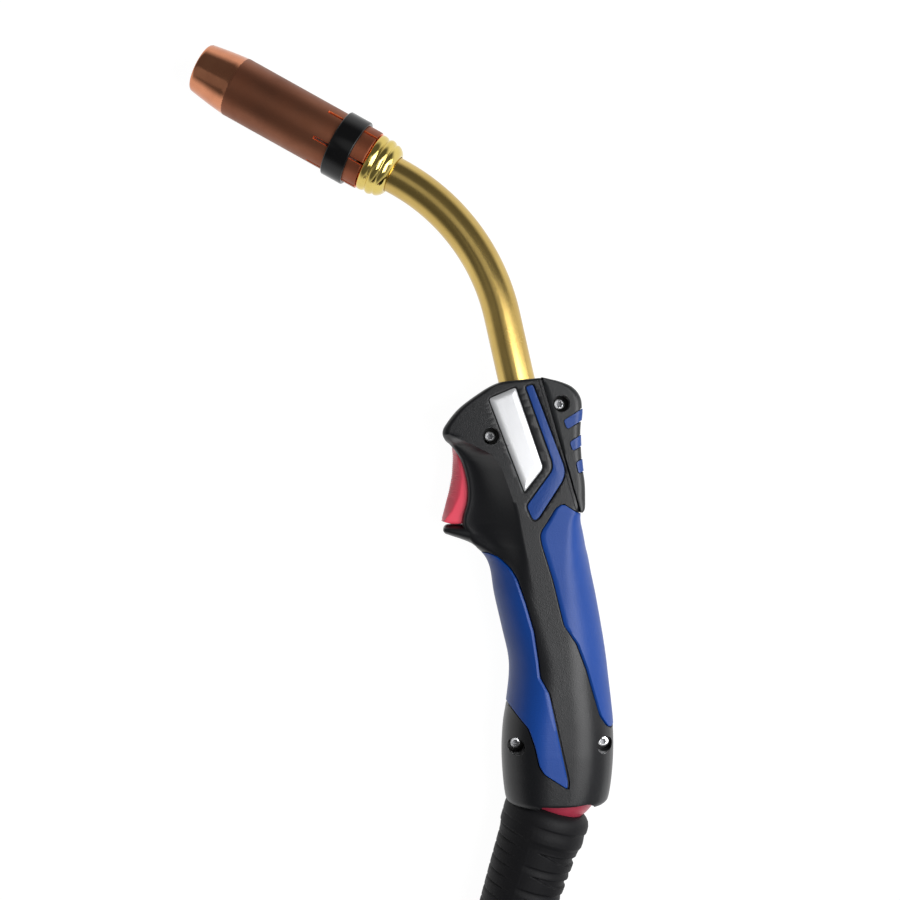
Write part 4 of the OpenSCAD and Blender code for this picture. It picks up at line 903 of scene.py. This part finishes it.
GRIP_EDGE, GRIP_RISE, GRIP_FOOT = 0.55, 0.2, GRIP_ROOM - 0.05
WRAPS = 0.31  # distance from the handle's edge below which a grip runs on round it


def grip(name, at_front, side):
    """A soft grip: a layer of the handle's surface between two of its edges. Its surface stands a little
    proud and drops near the edges by r (1 - sqrt(1 - (1 - e / r)^2)), e being the distance from the edge."""
    low, high = FRONT_SPAN if at_front else BACK_SPAN
    low, high = low + INLAY_GAP, high - INLAY_GAP
    margin = np.array([0, 0.04, 0.12, 0.25, 0.4, 0.6])
    middle = rows_between(low + 0.8, high - 0.8, ROW_STEP)
    cut = Slices(np.concatenate([high - margin, middle, (low + margin)[::-1]]))
    a1, b1, _, a2, b2 = cut.grip_edges()
    y, w = cut.y[:, None], cut.width
    start, end, gap = (a1, b1, FRONT_GAP) if at_front else (a2, b2, INLAY_GAP)
    front, back = at_front & (start < WRAPS), (not at_front) & (end > w - WRAPS)
    start = np.where(front, 0, start + INLAY_GAP)
    end = np.maximum(np.where(back, w, end - gap), start + 0.4)
    u = band(start, end, 30, power_a=1.8) if at_front else band(start, end, 30, power_b=1.8)
    far = 9  # added where the grip runs on round the handle's edge, so that it doesn't drop there
    off = np.minimum(u - start[:, None] + far * front[:, None], end[:, None] - u + far * back[:, None])
    off = np.minimum(off, np.minimum(high - y, y - low))
    outer = cut.surface(u, GRIP_EDGE * (1 - quarter(off / GRIP_EDGE)) - GRIP_RISE)
    inner = cut.surface(u, GRIP_FOOT)
    rims = []
    for column, wraps in ((slice(0, 1), front), (slice(-1, None), back)):
        for skin, other, inset in ((outer, inner, -GRIP_RISE), (inner, outer, GRIP_FOOT)):
            level = cut.surface(u[:, column], inset, flat=True)
            rims.append(np.where(wraps[:, None, None], level, skin[:, column] * 0.7 + other[:, column] * 0.3))
    rings = np.concatenate([rims[0], outer, rims[2], rims[3], inner[:, ::-1], rims[1]], 1)
    rings[..., 2] *= side
    return rings_piece(name, rings, PAINTS["grip"])


def chevron(name, side):
    """A strip whose upper rim is a quarter round of radius r: it stands in by r (1 - cos a) at the depth
    r (1 - sin a), a from 0 to 90 degrees."""
    r, top = 0.35, HEAD_HALF + 0.25
    a = np.linspace(0, math.pi / 2, 5)
    steps = [(0, HEAD_HALF - INLAY_FOOT), *zip(r * (1 - np.cos(a)), top - r * (1 - np.sin(a)))]
    return layered(name, [(moved_in(CHEVRON, inset), side * z) for inset, z in steps], PAINTS["trim"])


def torx_screw(place, seat):
    """A pan head with a six-lobed recess: the edge of the recess is at r = 1.12 + 0.16 cos 6a."""
    a = circle(72)
    lobe = 1.12 + 0.16 * np.cos(6 * a)
    profile = [(1.5, -12), (1.5, 0), (2.25, 0), (2.25, 1.5), (2.2, 1.78), (2.08, 1.92), (1.9, 1.98),
               (lobe + 0.08, 2.0), (lobe, 1.95), (lobe * 0.98, 1.0), (lobe * 0.6, 0.95), (0.2, 0.93)]
    screw = layered("screw", [(ring(r, a, place), z + seat) for r, z in profile], smooth=30)
    x, y, z = face_centres(screw).T
    # faces inside the recess take the darker steel: painted shade in the recess
    inside = (np.hypot(x - place[0], y - place[1]) < 1.3) & (z < seat + 1.96) & (z > seat + 0.3)
    return painted(screw, "steel", "recess", skin=inside)


def housing_screws():
    """The three screws of the shells and the cover's one."""
    parts = [torx_screw(p, SCREW_SEAT) for p in SHELL_SCREWS] + [torx_screw(COVER_SCREW, COVER_SEAT)]
    return merged("screws", parts)


def nameplate():
    """A plate whose top is crowned: within 2.2 mm of its edge the top rises by
    0.55 (1 - (1 - i / 2.2)^2), i being the distance from the edge, and is flat beyond."""
    low, high, crown, slope = HEAD_HALF - INLAY_FOOT, HEAD_HALF - 0.05, 0.55, 2.2
    steps = [(0, low), (0, high - 0.25), (0.06, high - 0.08), (0.2, high)]
    steps += [(i, high + crown * (1 - (1 - i / slope) ** 2)) for i in (0.5, 0.8, 1.1, 1.4, 1.8, 2.2)]
    steps += [(i, high + crown) for i in (2.6, 3.2, 3.8)]
    radii = np.array(PLATE_RADII)
    levels = [(rounded(inset_corners(PLATE_CORNERS, i), np.maximum(radii * (1 - i / 4), 0.1)), z)
              for i, z in steps]
    return layered("plate", levels, PAINTS["plate"], smooth=60)


# ---------------------------------------------------------------- neck and nozzle
def neck_tube():
    """The tube carried along its route: straight up the lower axis, then round the bend."""
    bend_r, angle, rise = 86.2, math.radians(48.25 + 3.4), 27.3
    t = np.linspace(0, angle, 56)
    centre = np.concatenate([np.column_stack([np.zeros(14), np.linspace(-30, rise, 15)[:-1]]),
                             np.column_stack([bend_r * (np.cos(t) - 1), rise + bend_r * np.sin(t)])])
    side = np.concatenate([np.tile([1.0, 0], (14, 1)), np.column_stack([np.cos(t), np.sin(t)])])
    a = circle(96)
    skins = []
    for radius in (TUBE_R, TUBE_BORE_R):
        flat = centre[:, None] + radius * np.cos(a)[None, :, None] * side[:, None]
        z = np.broadcast_to(radius * np.sin(a), flat.shape[:2])
        skins.append(np.concatenate([flat, z[..., None]], -1) @ NECK.turn.T)
    return rings_piece("tube", np.concatenate([skins[0], skins[1][::-1]]), PAINTS["tube"], looped=True)


def nozzle_fitting():
    """Turned brass: a collar with a rounded bead, a waist, a double bead and the seat of the nozzle."""
    line = [(4.55, 5.6), (7.75, 5.6), (7.75, 2.9), (8.4, 2.9), (9.1, 3.2), (9.9, 3.8), (10.6, 4.6),
            (11.1, 5.4), (11.25, 6.0), (11.15, 6.5), (11.0, 6.8), (11.05, 7.0), (11.45, 7.4), (11.9, 8.1),
            (12.05, 8.9), (11.85, 9.7), (11.45, 10.2), (11.3, 10.5), (11.5, 10.9), (11.9, 11.5),
            (12.1, 12.3), (12.05, 13.2), (11.8, 13.8), (11.3, 14.0), (9.0, 14.0), (9.0, 24), (4.55, 24)]
    return turned("fitting", NOZZLE, rounded(line, 0.35, 3), "fitting", 128)


BORE_R, NOZZLE_REAR = 11.0, 14.2
SLOT_TURN, SLOT_END = 51, 36.0  # degrees round the nozzle, and distance along it
# Section of the saw that cuts a slot: pairs of (distance from the axis, distance to the side)
SAW = [(9, 0.5), (12.2, 0.5), (13.4, 1.3), (13.4, -1.3), (12.2, -0.5), (9, -0.5)]


def slit(turn):
    """The cutter of one slot. Its outer corners lean to the front at the end, where it narrows."""
    a = math.radians(turn)
    out, across = np.array([math.cos(a), math.sin(a)]), np.array([-math.sin(a), math.cos(a)])
    middle = 12.3 * out
    rings = []
    for t, share, lean in ((NOZZLE_REAR - 1, 1, 0), (SLOT_END, 1, 0.5), (SLOT_END + 0.3, 0.7, 0.8)):
        flat = [middle + (far * out + aside * across - middle) * share for far, aside in SAW]
        corners = [np.insert(p, 1, t + lean * (far > 13)) for p, (far, _) in zip(flat, SAW)]
        rings.append([NOZZLE.origin + NOZZLE.turn @ p for p in corners])
    return rings_piece("slit", np.array(rings), PAINTS["slot"])


def gas_nozzle():
    """The nozzle, its wall slit from the rear; the front narrows behind a sharp line."""
    rear = NOZZLE_REAR
    line = [(BORE_R, rear), (12.2, rear), (12.45, rear + 0.3), (12.5, rear + 0.8), (12.5, 75.6),
            (12.5, 76.3), (12.44, 76.5), (12.3, 78.2), (12.05, 80.4), (11.7, 83.3), (11.25, 86.2),
            (10.8, 89.2), (10.45, 91.4), (10.3, 92.1), (10.0, 92.5), (9.3, 92.5), (8.95, 92.2), (8.9, 90.5),
            (9.6, 85.7), (BORE_R, 72.5)]
    nozzle = turned("nozzle", NOZZLE, line, "nozzle", 144, smooth=25)
    x, distance, z = ((face_centres(nozzle) - NOZZLE.origin) @ NOZZLE.turn).T
    radius = np.hypot(x, z)
    skin = np.where((distance > 76.4) & (radius > 9.5), 2, 0)
    skin = np.where((distance < rear + 0.12) | (radius < BORE_R + 0.1) & (distance < 60), 1, skin)
    painted(nozzle, "nozzle", "slot", "front", skin=skin)
    return carve(nozzle, [slit(SLOT_TURN + 60 * k) for k in range(6)], smooth=25)


def nozzle_band():
    """A ring round the slots, its edges rounded."""
    line = [(12.5, 20.0), (13.5, 20.0), (13.9, 20.4), (13.9, 29.1), (13.5, 29.5), (12.5, 29.5)]
    return turned("band", NOZZLE, rounded(line, 0.2, 3), "band", 128)


def contact_tip():
    """The tip: a threaded foot, a shoulder, and a cone at its end."""
    line = [(0.6, 53.0), (3.55, 53.0), (3.55, 59.9), (4.7, 60.0), (5, 60.3), (5, 82), (4.2, 85.2),
            (3.4, 88.8), (3.1, 89.6), (2.4, 90), (1.1, 90), (0.6, 89.5)]
    return turned("tip", NOZZLE, line, "copper", 64)


# ---------------------------------------------------------------- trigger
LEVER_TOP, TOP_ROUND, LEVER_FOOT, FOOT_ROUND = -24.9, 1.2, -57.3, 1.35
TRIGGER_FACE = [(-26.0, -24.6), (-26.6, -26.8), (-26.3, -31.8), (-26.7, -39), (-28.1, -46.3), (-29.9, -53.5),
                (-30.9, -57.2), (-30.7, -57.9), (-29.9, -58.2)]
TRIGGER_BACK = [(-19.9, -24.6), (-19, -26), (-18.6, -28), (-17, -34), (-15.3, -45), (-15.5, -54),
                (-15.9, -55.8), (-16.6, -57), (-17.8, -57.8), (-20.4, -58.2)]
TRIGGER_SHOULDER = [(0.5, -24.6), (0.9, -27), (2.6, -33), (4.2, -40), (4.6, -47), (3.4, -53), (1.2, -57.2),
                    (1.0, -58.8)]


def trigger():
    """A lever whose finger face is a ridge: x = face + shoulder (|z| / half)^1.7, with fine teeth
    0.13 (1 + cos(2 pi y / 0.85)) deep over its upper two thirds. Both ends are rounded off."""
    y = np.concatenate([LEVER_TOP - TOP_ROUND * (1 - np.cos(np.linspace(0, math.pi / 2, 7)))[:-1],
                        np.linspace(LEVER_TOP - TOP_ROUND, LEVER_FOOT, 260),
                        LEVER_FOOT - FOOT_ROUND * np.sin(np.linspace(0, math.pi / 2, 9))[1:]])
    face, back, shoulder = (np.interp(-y, -np.transpose(table)[1], np.transpose(table)[0])
                            for table in (TRIGGER_FACE, TRIGGER_BACK, TRIGGER_SHOULDER))
    for line in (face, shoulder):
        line[10:-10] = np.convolve(line, np.ones(21) / 21, "valid")
    y, face, back, shoulder = y[:, None], face[:, None], back[:, None], shoulder[:, None]
    shrink = quarter(np.minimum((LEVER_TOP - y) / TOP_ROUND, (y - LEVER_FOOT + FOOT_ROUND) / FOOT_ROUND))
    shrink = np.maximum(shrink, 0.02)
    half = TRIGGER_HALF * (0.75 + 0.25 * shrink)
    middle = (face + back) / 2
    z = np.linspace(-1, 1, 25)
    toothed = np.clip((-28 - y) / 2, 0, 1) * np.clip((y + 49) / 4, 0, 1)
    tooth = 0.13 * (1 + np.cos(2 * math.pi * y / 0.85)) * toothed
    front_x = face + shoulder * np.abs(z) ** 1.7 + tooth * (1 - np.abs(z) ** 4)
    front_x = middle + (front_x - middle) * shrink
    front_z = half * (z - 0.03 * np.sign(z) * np.abs(z) ** 12)
    shoulder_x = front_x[:, -1:]
    back_x = middle + (back - middle) * shrink
    side_x = shoulder_x + (back_x - shoulder_x) * np.array([0.04, 0.1, 0.5, 0.94, 1.0])
    side_z = half * np.array([0.993, 1.0, 1.0, 1.0, 0.95])
    x = np.concatenate([front_x, side_x, side_x[:, ::-1]], 1)
    z = np.concatenate([front_z, side_z, -side_z[:, ::-1]], 1)
    piece = rings_piece("lever", np.stack([x, y + 0 * x, z], -1), PAINTS["red"], smooth=30)
    return carve(piece, [rod(1.56, (*PIVOT, -12), (*PIVOT, 12), 32)], smooth=30)


def pivot_pin():
    """The pin that the trigger turns on, its ends rounded."""
    half, r, a = TRIGGER_HALF + 0.9, 1.5, circle(32)
    profile = [(0.3, -half), (1.1, -half), (r, -half + 0.4), (r, half - 0.4), (1.1, half), (0.3, half)]
    return layered("pin", [(ring(q, a, PIVOT), z) for q, z in profile], PAINTS["steel"])


# ---------------------------------------------------------------- ball, sleeve and cable
def ball_joint():
    """A hollow ball on a neck."""
    b = np.linspace(math.asin(10.8 / BALL_R), math.pi - math.asin(7.2 / BALL_R) - 0.25, 40)
    outer = BALL_R * np.column_stack([np.sin(b), np.cos(b)])
    line = np.concatenate([[(10.8, 30), (10.8, 14.5)], outer, [(7.2, -15.4), (7.2, 30)]])
    return turned("ball", CABLE, line, "ball", 96)


HOSE_R, SLEEVE_END = 12, 95
# Radius of the sleeve over the distance along it: rolled mouth, smooth collar, then a taper to the hose
SLEEVE_TABLE = [(10.2, 13.9), (10.3, 14.6), (10.7, 15.4), (11.4, 16.3), (12.4, 17.1), (13.8, 17.6),
                (15.4, 17.75), (22.5, 17.5), (23.8, 16.9), (25.5, 16.6), (40, 16.0), (52, 15.4),
                (93.6, 13.4), (94.3, 13.3), (94.8, 13.0), (95, 12.7)]
RING_STEP, RIB_STEP = 4.6, 9.7


def sleeve_relief(angle, along):
    """Depth of the ribs of the sleeve. The angle runs from 0 on the front to 180 degrees on the back. On the
    front, narrow rings every 4.6 mm; on the back, every 9.7 mm a slot that widens from its tip to 3.2 mm,
    then a rib, then a step down that fades out. The halves meet at a fine mould line at 72 degrees."""
    turn = np.abs(np.degrees(np.arctan2(np.sin(angle), np.cos(angle)))) + 0 * along
    live = smooth_step((along - 17) / 3) * smooth_step((90 - along) / 4)
    count = (along - 18.2) / RING_STEP
    off = (count - np.round(count)) * RING_STEP
    rings = 0.62 * np.exp(-(off / 0.42) ** 2) * smooth_step((76 - turn) / 40)
    place = (along - 26.5) % RIB_STEP
    width = 3.2 * smooth_step((turn - 84) / 55)
    slot = smooth_step(place / 0.5) * smooth_step((width + 0.5 - place) / 0.5) * smooth_step((turn - 84) / 8)
    lower = smooth_step((place - 6.3) / 0.6) * (1 - smooth_step((place - 7.2) / 2.5))
    back = (0.95 * slot + 0.55 * lower * smooth_step((turn - 66) / 20)) * smooth_step((along - 25.5) / 1.5)
    collar = smooth_step((along - 16.4) / 0.5) * (1 - smooth_step((along - 17.2) / 4))
    line = 0.12 * np.exp(-((turn - 72) / 0.9) ** 2)
    return ((rings + back) * live + 0.5 * collar * smooth_step((turn - 62) / 24)
            - line * smooth_step((along - 14) / 2) * live)


def bend_sleeve():
    """Rubber sleeve: the radius of its profile less the depth of its ribs."""
    places = np.transpose(SLEEVE_TABLE)[0]
    t = np.concatenate([places[:7], np.linspace(16.2, 93.6, 400), places[-3:]])[:, None]
    a = circle(176)
    radius = np.interp(t, *np.transpose(SLEEVE_TABLE)) - sleeve_relief(a, t)
    inside = [(12.3, SLEEVE_END), (12.3, 32), (10.9, 32), (10.9, 14.5), (13.3, 11.2)]
    inner_r, inner_t = np.transpose(inside)[..., None]
    points = np.concatenate([CABLE.at(radius, a, t), CABLE.at(inner_r, a, inner_t)])
    return rings_piece("sleeve", points, PAINTS["sleeve"], 40, looped=True)


COIL_LEAN, HOSE_BEND_R, COIL_R = 40.0, 160.0, 120.0
LOW_LAYER, HIGH_LAYER = FLOOR_Z + 13.3, FLOOR_Z + 37.3
CABLE_EXIT = 33
CONNECTOR = Axis((192, -242, 1.7), 0)


def cable_axis(t):
    """The point at the distance t from the middle of the ball."""
    return CABLE.at(0, 0, t)


def hose_bend(degrees):
    """The middle of the bend between sleeve and coil, where its direction has that lean."""
    a, b = np.radians(degrees), math.radians(CABLE_LEAN)
    turn = np.array([math.cos(a) - math.cos(b), math.sin(b) - math.sin(a), 0])
    return cable_axis(SLEEVE_END) + HOSE_BEND_R * turn


COIL_CENTRE = hose_bend(COIL_LEAN) + (COIL_R + HOSE_R) * np.array(
    [math.cos(math.radians(COIL_LEAN)), -math.sin(math.radians(COIL_LEAN)), 0])


def round_coil(r, a, z):
    """Points at the radius r, the angle a in radians and the height z round the middle of the coil."""
    r, a, z = np.broadcast_arrays(r, a, z)
    return np.stack([COIL_CENTRE[0] + r * np.cos(a), COIL_CENTRE[1] + r * np.sin(a), z], -1)


def cable_route():
    """The middle of the cable: out of the sleeve, round the outer low turn, the inner low turn, the inner
    high turn and half of the outer high turn, then over to the connector. Between two turns the radius and
    the height change along a smooth step."""
    lead = [cable_axis(CABLE_EXIT), cable_axis(62), cable_axis(SLEEVE_END), hose_bend(24) - [0, 0, 1],
            hose_bend(30) - [0, 0, 3], hose_bend(36) - [0, 0, 5]]
    a = np.arange(180 - COIL_LEAN + 6, 4 * 360 - 3.0, 9.0)
    inwards, up, outwards = (smooth_step((a - first) / (last - first))
                             for first, last in ((425, 515), (790, 860), (1145, 1235)))
    r = COIL_R + HOSE_R - 2 * HOSE_R * inwards + 2 * HOSE_R * outwards
    turns = round_coil(r, np.radians(a), LOW_LAYER + (HIGH_LAYER - LOW_LAYER) * up)
    tail = [[191.2, -366, HIGH_LAYER - 0.8], [191.5, -344, 14.4], [191.8, -318, 8.6]]
    tail += [CONNECTOR.at(0, 0, t) + [0, 0, dz] for t, dz in ((-52, 2), (-41, 0), (-20, 0), (0, 0))]
    return np.concatenate([lead, turns, tail])


def cable():
    """The cable and its route. Its rings stand square to the route, their side level with the floor."""
    points = cable_route()
    route = spline(points, np.linspace(0, len(points) - 1, (len(points) - 1) * 3 + 1))
    d = unit(np.gradient(route, axis=0))
    side = unit(np.cross(d, [0, 0, 1]))
    a = circle(32)[None, :, None]
    rings = route[:, None] + HOSE_R * (np.cos(a) * side[:, None] + np.sin(a) * np.cross(side, d)[:, None])
    return rings_piece("cable_hose", rings, PAINTS["hose"]), route


def straps():
    """Two bands of tape pulled round the turns: a closed line carried a little way round the coil. Where the
    outer high turn is missing the tape leaves that corner out and runs down at 45 degrees."""
    parts = []
    for angle in (-60, 60):
        a = np.radians(np.linspace(angle, angle + 10, 7))[:, None]
        skins = []
        for gap, low, radius in ((1.2, 0.1, 13), (0.2, 1.1, 12)):
            half, top = 2 * HOSE_R + gap, 4 * HOSE_R + 1.4 + gap
            corners, radii = [(-half, low), (half, low), (half, top), (-half, top)], [radius] * 4
            if angle > 0:
                slope = 2 * HOSE_R + 1.3 + (HOSE_R + gap) * math.sqrt(2)
                corners[2:3], radii[2:3] = [(half, slope - half), (slope - top, top)], [radius / 2] * 2
            aside, height = rounded(corners, radii, 8).T
            skins.append(round_coil(COIL_R + aside, a, FLOOR_Z + height))
        rings = np.concatenate([skins[0], skins[1][::-1]])
        parts.append(rings_piece("strap", rings, PAINTS["strap"], looped=True))
    return merged("coil_straps", parts)


def connector_sleeve():
    """The rubber boot behind the connector: a cone with a round rib every 5.4 mm."""
    step, length = 5.4, 38
    t = np.linspace(-length, 1.9, 150)
    place = (t + 33) / step
    rib = 0.7 * np.clip(1.3 - np.abs((place - np.round(place)) * step / 0.9) ** 3, 0, 1)
    r = 13.3 + (16.2 - 13.3) * np.clip((t + length) / length, 0, 1) - rib * (t < -3)
    line = np.concatenate([np.column_stack([r, t]), [(12.3, 1.9), (12.3, -length)]])
    return turned("plug_boot", CONNECTOR, line, "sleeve", 72)


def flats(r, a, t):
    """The radius of the connector's housing, less ten flats for the hand."""
    length = np.clip((t - 7) / 1, 0, 1) * np.clip((23.5 - t) / 1, 0, 1)
    return r - 0.55 * (np.cos(10 * a) > 0.2) * length * (r > 17)


def connector_housing():
    """The round housing with flats for the hand, and the journal of the nut."""
    line = [(12.6, 2), (15.6, 2), (16.2, 2.4), (18.2, 5.6), (18.6, 6.6), (18.6, 23.4), (18.9, 24.4),
            (19.8, 26.6), (20, 27.4), (20, 35.5), (19.6, 36), (15.5, 36), (15.5, 49.6), (15.1, 50),
            (9.05, 50), (9.05, 44), (12.6, 44)]
    fine = []
    for (r0, t0), (r1, t1) in zip(line, line[1:] + line[:1]):
        n = max(1, int(abs(t1 - t0) / 0.8))
        fine += [(r0 + (r1 - r0) * k / n, t0 + (t1 - t0) * k / n) for k in range(n)]
    piece = turned("plug_housing", CONNECTOR, fine, "plug", 120, radius_of=flats)
    holes = [rod(1.55, CONNECTOR.at(12, a, 40), CONNECTOR.at(12, a, 62), 24) for a in (0, math.pi)]
    return carve(piece, holes)


def flutes(r, a, t):
    """The radius of the nut, less twelve flutes 1.4 max(0, cos 12 a)^2 deep on its outside."""
    deep = np.clip((t - 38) / 2, 0, 1) * np.clip((60.6 - t) / 2, 0, 1)
    return r - (r > 19) * (1.4 * np.clip(np.cos(12 * a), 0, 1) ** 2 * np.sqrt(deep))


def connector_nut():
    """The turning nut with its flutes."""
    line = [(15.6, 36.3), (19.9, 36.3), (20.6, 36.7), (21, 37.4)]
    line += [(21, t) for t in np.linspace(38.4, 60, 23)]
    line += [(20.6, 61.5), (19.9, 62), (17.4, 62), (17, 61.6), (17, 50.3), (15.6, 50.3)]
    return turned("plug_nut", CONNECTOR, line, "plug", 288, radius_of=flutes)


# ---------------------------------------------------------------- assembly
dress_cad_nodes()
for side, word in ((1, "left"), (-1, "right")):
    stand_for(handle_shell(f"shell_{word}", side), "handle", "shell_plastic", f"handle_shell_{word}")
    stand_for(grip(f"grip_front_{word}", True, side), "handle", "grip_rubber", f"front_grip_{word}")
    stand_for(grip(f"grip_back_{word}", False, side), "handle", "grip_rubber", f"back_grip_{word}")
    stand_for(chevron(f"chevron_{word}", side), "handle", "blue_trim", f"chevron_strip_{word}")
cover, stripes = rear_cover()
stand_for(cover, "handle", "shell_plastic", "rear_cover")
stand_for(stripes, "handle", "blue_trim", "cover_stripes")
for build, body, slot, node in (
        (nameplate, "handle", "plate_metal", "nameplate"),
        (housing_screws, "handle", "steel", "housing_screws"),
        (neck_tube, "handle", "tube_brass", "neck_tube"),
        (nozzle_fitting, "handle", "fitting_brass", "nozzle_fitting"),
        (contact_tip, "handle", "copper", "contact_tip"),
        (gas_nozzle, "nozzle", "nozzle_copper", "gas_nozzle"),
        (nozzle_band, "nozzle", "band_black", "nozzle_band"), (trigger, "trigger", "trigger_red", "trigger"),
        (ball_joint, "ball", "ball_red", "ball_joint"), (pivot_pin, "handle", "steel", "trigger_pin")):
    stand_for(build(), body, slot, node)
sleeve = stand_for(bend_sleeve(), "cable", "sleeve_rubber", "bend_sleeve")
hose, hose_path = cable()
stand_for(hose, "cable", "hose_rubber", "hose", "hose_coil", "hose_tail")
tie = stand_for(straps(), "cable", "strap", "coil_strap")
boot = stand_for(connector_sleeve(), "cable", "sleeve_rubber", "connector_sleeve")
housing = stand_for(connector_housing(), "cable", "connector_plastic", "connector_housing")
nut = stand_for(connector_nut(), "nut", "connector_plastic", "connector_nut")
tuple(frame_points(cable_axis(CABLE_EXIT))[0])
